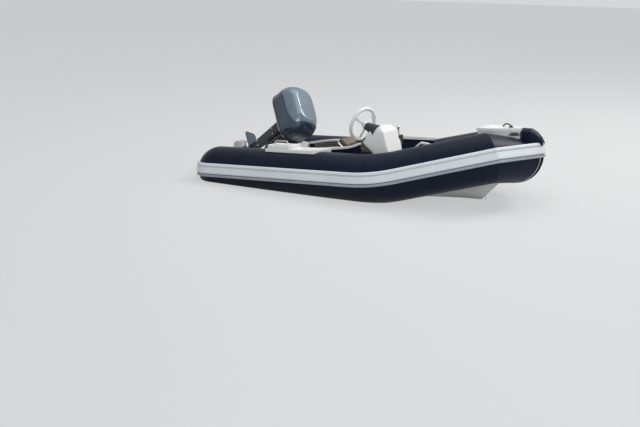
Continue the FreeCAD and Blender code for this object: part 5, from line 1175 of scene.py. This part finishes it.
class RIBBOAT_OT_engine_trim(bpy.types.Operator):
    """Painted light on the hood's top, seam bands, slots, latch, bolts, inlets, trim tab and propeller nut"""

    bl_idname = "ribboat.engine_trim"
    bl_label = "Outboard trim"

    def execute(self, context):
        hood = skin(STEERED, "outboard_hood")
        pan = skin(STEERED, "outboard_lower_cowl")
        centre = Vector((-0.236, 0, 0.24))
        self.ring("hood_seam", hood, centre, 0.104, tape_profile(0.013, 0.0022), "black_plastic")
        self.ring("hood_lip", hood, centre, 0.118, bead_profile(0.0022, 0.0, 8), "engine_paint")
        self.ring("hood_waist", hood, centre, 0.150, tape_profile(0.006, 0.0012), "black_plastic")
        self.ring("pan_rib", pan, centre, 0.082, bead_profile(0.0022, 0.0, 8), "engine_paint")
        # The hood's top is painted paler: painted light.
        self.paler_hood_top(hood)
        for side, sign in SIDES:
            point, up = land(hood, (-0.47, -0.6 * sign, 0.31), (0.25, sign, 0))
            place = STEERED @ seat(point, up, (1, 0, 0.2))
            slots = [moved(slab(round_outline(0.055, 0.006, 0.003), 0.0016, 0.0005),
                           shift(0, 0.012 * k, -0.0004)) for k in (-1, 0, 1)]
            fit(f"hood_air_slots_{side}", joined(slots), place, "outboard", "black_plastic")
        point, up = land(pan, (-0.9, 0.0, 0.082), (1, 0, 0))
        latch = joined([slab(round_outline(0.022, 0.07, 0.006), 0.006, 0.002),
                        moved(slab(round_outline(0.010, 0.05, 0.004), 0.014, 0.003), shift(0.002, 0, 0.002))])
        fit("cowl_latch", latch, STEERED @ seat(point, up, (0, 0, 1)) @ shift(0, 0, -0.001), "outboard",
            "black_plastic")
        leg = skin(STEERED, "outboard_leg")
        gear = skin(STEERED, "outboard_gearcase")
        for level, label in ((-0.10, "upper"), (-0.42, "lower")):
            turns = [math.radians(5 * k) for k in range(72)]
            points, ups = run_of(leg, [(Vector((-0.205, 0, level)), Vector((math.cos(a), math.sin(a), 0)))
                                       for a in turns])
            band = swept(points, ups, tape_profile(0.007, 0.001), True)
            fit(f"leg_joint_{label}", band, STEERED, "outboard", "black_plastic")
        bolts = []
        for side, sign in SIDES:
            for x, z in ((-0.165, -0.13), (-0.235, -0.13), (-0.165, -0.39), (-0.225, -0.39)):
                point, up = land(leg, (x, -0.3 * sign, z), (0, sign, 0))
                bolt = turned([(0, 0.005), (0.006, 0.005), (0.0075, 0.0035), (0.0095, 0.0012),
                               (0.0095, -0.001), (0, -0.001)], 6)
                bolts.append(moved(bolt, seat(point, up, (1, 0, 0))))
            point, up = land(gear, (-0.165, -0.3 * sign, -0.545), (0, sign, 0))
            inlet = [moved(slab(round_outline(0.036, 0.0032, 0.0016), 0.0012, 0.0004),
                           shift(0, 0.0075 * k, -0.0003)) for k in (-2, -1, 0, 1, 2)]
            fit(f"water_inlet_{side}", joined(inlet), STEERED @ seat(point, up, (0.2, 0, 1)), "outboard",
                "black_plastic")
        fit("leg_bolts", joined(bolts), STEERED, "outboard", "stainless")
        tab = slab([(-0.028, -0.004), (0.022, -0.006), (0.022, 0.006), (-0.028, 0.004)], 0.035, 0.0015)
        fit("trim_tab", tab, STEERED @ shift(-0.268, 0, -0.5235), "outboard", "anode")
        nut = joined([turned([(0, 0.010), (0.011, 0.010), (0.0125, 0.0085), (0.0125, 0), (0, 0)], 6),
                      turned([(0, 0.0155), (0.0045, 0.0155), (0.0055, 0.014), (0.0055, 0.004),
                              (0, 0.004)], 20)])
        fit("propeller_nut", nut, PROPELLER @ shift(0, 0, 0.0755), "screw", "stainless")
        return {"FINISHED"}

    def ring(self, name, tree, centre, level, profile, material):
        """A band round the cowl at one level."""
        turns = [math.radians(4 * k) for k in range(90)]
        rays = [(Vector((centre.x, 0, level)), Vector((math.cos(a), math.sin(a), 0))) for a in turns]
        points, ups = run_of(tree, [(start + way * 0.9, -way) for start, way in rays])
        fit(name, swept(points, ups, profile, True), STEERED, "outboard", material)

    def paler_hood_top(self, hood):
        """The paler skin over the top and down the sides of the hood, with a sweeping lower edge: painted
        light of the lit top.
        """
        rows, columns = 34, 40
        size = sizes()
        bend_x = -0.25
        grid, edge = [], []
        for i in range(rows + 1):
            x = size.lit_top_aft + (size.lit_top_front - size.lit_top_aft) * i / rows
            past = max(0, (x - bend_x) / (size.lit_top_front - bend_x))
            level = size.lit_top_edge + size.lit_top_sweep * past ** 2
            point, _ = land(hood, (x, -0.9, level), (0, 1, 0))
            reach = math.atan2(-point.y, point.z - 0.16)
            for j in range(columns + 1):
                angle = (2 * j / columns - 1) * reach
                way = Vector((0, math.sin(angle), math.cos(angle)))
                point, up = land(hood, Vector((x, 0, 0.16)) + way * 0.9, -way)
                grid.append(point + up * 0.0016)
                if i in (0, rows) or j in (0, columns):
                    edge.append((i, j, point, up))

        def build(drawing):
            corners = [drawing.verts.new(c) for c in grid]
            for i in range(rows):
                for j in range(columns):
                    a = i * (columns + 1) + j
                    drawing.faces.new((corners[a], corners[a + 1], corners[a + columns + 2],
                                       corners[a + columns + 1]))
        thing = fit("hood_lit_top", mesh_of(build), STEERED, "outboard", "cowl_lit_top",
                    smooth=60)
        wall = thing.modifiers.new("wall", "SOLIDIFY")
        wall.thickness = 0.0026
        wall.offset = 0.0
        ring = ([e for e in edge if e[0] == 0] + [e for e in edge if e[1] == columns and 0 < e[0] < rows]
                + [e for e in reversed(edge) if e[0] == rows]
                + [e for e in reversed(edge) if e[1] == 0 and 0 < e[0] < rows])
        rim = swept([e[2] for e in ring], [e[3] for e in ring], tape_profile(0.005, 0.0024), True)
        fit("hood_lit_top_edge", rim, STEERED, "outboard", "black_plastic")


class RIBBOAT_OT_hull_trim(bpy.types.Operator):
    """Keel band, lift strakes, drain plug, towing eyes and wear plate screws"""

    bl_idname = "ribboat.hull_trim"
    bl_label = "Hull trim"

    def execute(self, context):
        hull = skin(BOAT, "hull")
        keel = [Vector((x, 0.0, -0.6)) for x in [-1.03 + 0.06 * k for k in range(38)]]
        points, ups = run_of(hull, [(spot, (0, 0, 1)) for spot in keel])
        fit("keel_band", swept(points, ups, tape_profile(0.022, 0.004)), BOAT, "boat", "grey_rubber")
        for side, sign in SIDES:
            spots = [Vector((-1.0 + 0.08 * k, -0.22 * sign, -0.6)) for k in range(22)]
            points, ups = run_of(hull, [(spot, (0, 0, 1)) for spot in spots])
            rail = swept(points, ups, [(-0.014, -0.001), (-0.013, 0.004), (0.010, 0.012), (0.014, 0.010),
                                       (0.014, -0.001)])
            fit(f"lift_strake_{side}", rail, BOAT, "boat", "gelcoat")
        transom = skin(BOAT, "transom")
        point, up = land(transom, (-2.0, -0.17, 0.13), (1, 0, 0))
        plug = joined([turned([(0, 0.004), (0.018, 0.004), (0.021, 0.002), (0.021, -0.002), (0, -0.002)], 36),
                       turned([(0, 0.013), (0.007, 0.0125), (0.0085, 0.011), (0.0085, 0.003),
                               (0, 0.003)], 24)])
        fit("drain_plug", plug, BOAT @ seat(point, up, (0, 0, 1)), "boat", "white_plastic")
        for side, sign in SIDES:
            point, up = land(transom, (-2.0, -0.36 * sign, 0.22), (1, 0, 0))
            plate = slab(round_outline(0.06, 0.05, 0.006), 0.004, 0.001)
            bow = [Vector((0.02 * math.cos(math.radians(a)), 0, 0.003 + 0.034 * math.sin(math.radians(a))))
                   for a in range(0, 181, 12)]
            eye = swept(bow, [Vector((0, 1, 0))] * len(bow), bead_profile(0.005, 0, 10))
            nuts = [moved(turned([(0, 0.0045), (0.006, 0.0042), (0.0072, 0.003), (0.0072, 0), (0, 0)], 6),
                          shift(0.02 * s, 0.015 * t, 0.0035)) for s in (-1, 1) for t in (-1, 1)]
            fit(f"towing_eye_{side}", joined([plate, eye] + nuts), BOAT @ seat(point, up, (0, 0, 1)), "boat",
                "stainless")
        wear = skin(BOAT, "transom_wear_plates")
        heads = []
        for x, way in ((-2.0, 1), (-0.5, -1)):
            for y in (-0.115, 0.115):
                for z in (0.225, 0.385):
                    hit = wear.ray_cast(Vector((x, y, z)), Vector((way, 0, 0)))
                    if hit[0] is not None:
                        head = turned([(0, 0.0026), (0.004, 0.0023), (0.0052, 0.0008), (0.0052, -0.001),
                                       (0, -0.001)], 20)
                        heads.append(moved(head, seat(hit[0], Vector((-way, 0, 0)), (0, 0, 1))))
        fit("wear_plate_screws", joined(heads), BOAT, "boat", "stainless")
        return {"FINISHED"}


class RIBBOAT_OT_boarding_trim(bpy.types.Operator):
    """Raised tread of the boarding pad"""

    bl_idname = "ribboat.boarding_trim"
    bl_label = "Boarding pad trim"

    def execute(self, context):
        pad = skin(BOAT, "boarding_pad")
        spots = []
        for i in range(44):
            for j in range(24):
                x, y = -0.885 + 0.0125 * i, -0.69 + 0.0095 * j
                hit = pad.ray_cast(Vector((x, y, 0.8)), Vector((0, 0, -1)))
                if hit[0] is not None and hit[1].z > 0.9 and not (-0.86 < x < -0.66 and abs(y + 0.62) < 0.03):
                    spots.append(Vector((x, y, 0.8)))
        tread = studs_on(pad, spots, (0, 0, -1), 0.0042, 0.0011, "gelcoat")
        fit("boarding_tread", tread, BOAT, "boat", "gelcoat", smooth=None)
        return {"FINISHED"}


CAMERA_PLACE = (4.841, -9.115, 2.49)
CAMERA_RIGHT = (0.8554, 0.5180, 0.0)
CAMERA_AHEAD = (-0.4996, 0.8251, -0.2638)


class RIBBOAT_OT_stage(bpy.types.Operator):
    """Floor at the waterline, pale sky, lamps and the camera"""

    bl_idname = "ribboat.stage"
    bl_label = "Stage"

    def execute(self, context):
        scene = context.scene
        scene.view_settings.view_transform = "Standard"
        pale, tree, shader = shader_tree("stage_pale")
        shader.inputs["Base Color"].default_value = (0.62, 0.62, 0.61, 1)
        shader.inputs["Roughness"].default_value = 0.95
        glow = add(tree, "ShaderNodeEmission", Color=(0.72, 0.73, 0.74, 1), Strength=1.0)
        seen = add(tree, "ShaderNodeLightPath")
        how_much = add(tree, "ShaderNodeMath", operation="MULTIPLY")
        how_much.inputs[1].default_value = 0.68
        mixed = tree.nodes.new("ShaderNodeMixShader")
        tree.links.new(self.looked_at(tree, seen), how_much.inputs[0])
        tree.links.new(how_much.outputs[0], mixed.inputs[0])
        tree.links.new(shader.outputs[0], mixed.inputs[1])
        tree.links.new(glow.outputs[0], mixed.inputs[2])
        tree.links.new(mixed.outputs[0], tree.nodes["Material Output"].inputs["Surface"])
        drawing = bmesh.new()
        bmesh.ops.create_grid(drawing, x_segments=1, y_segments=1, size=30.0)
        mesh = bpy.data.meshes.new("floor")
        drawing.to_mesh(mesh)
        drawing.free()
        floor = bpy.data.objects.new("floor", mesh)
        scene.collection.objects.link(floor)
        mesh.materials.append(pale)
        self.lamps(scene)
        self.camera(scene)
        return {"FINISHED"}

    def looked_at(self, tree, seen):
        """One for camera, glossy and transmission rays, else nought."""
        total = seen.outputs["Is Camera Ray"]
        for label in ("Is Glossy Ray", "Is Transmission Ray"):
            step = add(tree, "ShaderNodeMath", operation="ADD")
            step.use_clamp = True
            tree.links.new(total, step.inputs[0])
            tree.links.new(seen.outputs[label], step.inputs[1])
            total = step.outputs[0]
        return total

    def lamps(self, scene):
        """One broad key from ahead and to port, a fill over the near side, a pale sky."""
        world = bpy.data.worlds.new("sky")
        scene.world = world
        world.use_nodes = True
        tree = world.node_tree
        light = tree.nodes["Background"]
        light.inputs["Color"].default_value = (0.86, 0.91, 0.97, 1)
        light.inputs["Strength"].default_value = 0.46
        pale = add(tree, "ShaderNodeBackground", Color=(0.66, 0.67, 0.68, 1), Strength=1.0)
        mixed = tree.nodes.new("ShaderNodeMixShader")
        tree.links.new(self.looked_at(tree, add(tree, "ShaderNodeLightPath")), mixed.inputs[0])
        tree.links.new(light.outputs[0], mixed.inputs[1])
        tree.links.new(pale.outputs[0], mixed.inputs[2])
        tree.links.new(mixed.outputs[0], tree.nodes["World Output"].inputs["Surface"])
        for name, where, size, power, tint in (
                ("key", (4.5, 5.0, 7.0), 3.5, 600, (1.0, 0.97, 0.93)),
                ("top", (0.5, 0.5, 6.5), 6.0, 175, (0.96, 0.98, 1.0)),
                ("fill", (6.5, -8.5, 4.5), 5.0, 300, (0.94, 0.97, 1.0))):
            lamp = bpy.data.lights.new(name, "AREA")
            lamp.size = size
            lamp.energy = power
            lamp.color = tint
            thing = bpy.data.objects.new(name, lamp)
            thing.location = where
            thing.rotation_euler = (Vector((0, 0, 0.3)) - Vector(where)).to_track_quat("-Z", "Y").to_euler()
            scene.collection.objects.link(thing)

    def camera(self, scene):
        """The camera at the photograph's place and angle."""
        lens = bpy.data.cameras.new("camera")
        lens.sensor_width = 36.0
        lens.lens = 56.25
        lens.clip_end = 200
        thing = bpy.data.objects.new("camera", lens)
        right = Vector(CAMERA_RIGHT).normalized()
        ahead = Vector(CAMERA_AHEAD).normalized()
        up = right.cross(ahead)
        thing.matrix_world = Matrix.Translation(CAMERA_PLACE) @ Matrix(
            (right, up, -ahead)).transposed().to_4x4()
        scene.collection.objects.link(thing)
        scene.camera = thing


OPERATORS = (
    RIBBOAT_OT_finishes,
    RIBBOAT_OT_tube_seams,
    RIBBOAT_OT_tube_fittings,
    RIBBOAT_OT_strake_trim,
    RIBBOAT_OT_coaming_trim,
    RIBBOAT_OT_cushions,
    RIBBOAT_OT_deck_trim,
    RIBBOAT_OT_console_trim,
    RIBBOAT_OT_engine_trim,
    RIBBOAT_OT_hull_trim,
    RIBBOAT_OT_boarding_trim,
    RIBBOAT_OT_stage,
)


class RIBBOAT_PT_panel(bpy.types.Panel):
    """The boat's pieces, in the order they are made"""

    bl_idname = "RIBBOAT_PT_panel"
    bl_label = "Rib boat"
    bl_space_type = "VIEW_3D"
    bl_region_type = "UI"
    bl_category = "Rib boat"

    def draw(self, context):
        for operator in OPERATORS:
            self.layout.operator(operator.bl_idname)


CLASSES = (RibBoatColours, RibBoatSizes) + OPERATORS + (RIBBOAT_PT_panel,)


def register():
    for item in CLASSES:
        bpy.utils.register_class(item)
    bpy.types.Scene.rib_boat_colours = bpy.props.PointerProperty(type=RibBoatColours)
    bpy.types.Scene.rib_boat_sizes = bpy.props.PointerProperty(type=RibBoatSizes)


def unregister():
    del bpy.types.Scene.rib_boat_sizes
    del bpy.types.Scene.rib_boat_colours
    for item in reversed(CLASSES):
        bpy.utils.unregister_class(item)


def main():
    register()
    for operator in OPERATORS:
        family, name = operator.bl_idname.split(".")
        getattr(getattr(bpy.ops, family), name)()


if __name__ == "__main__":
    main()
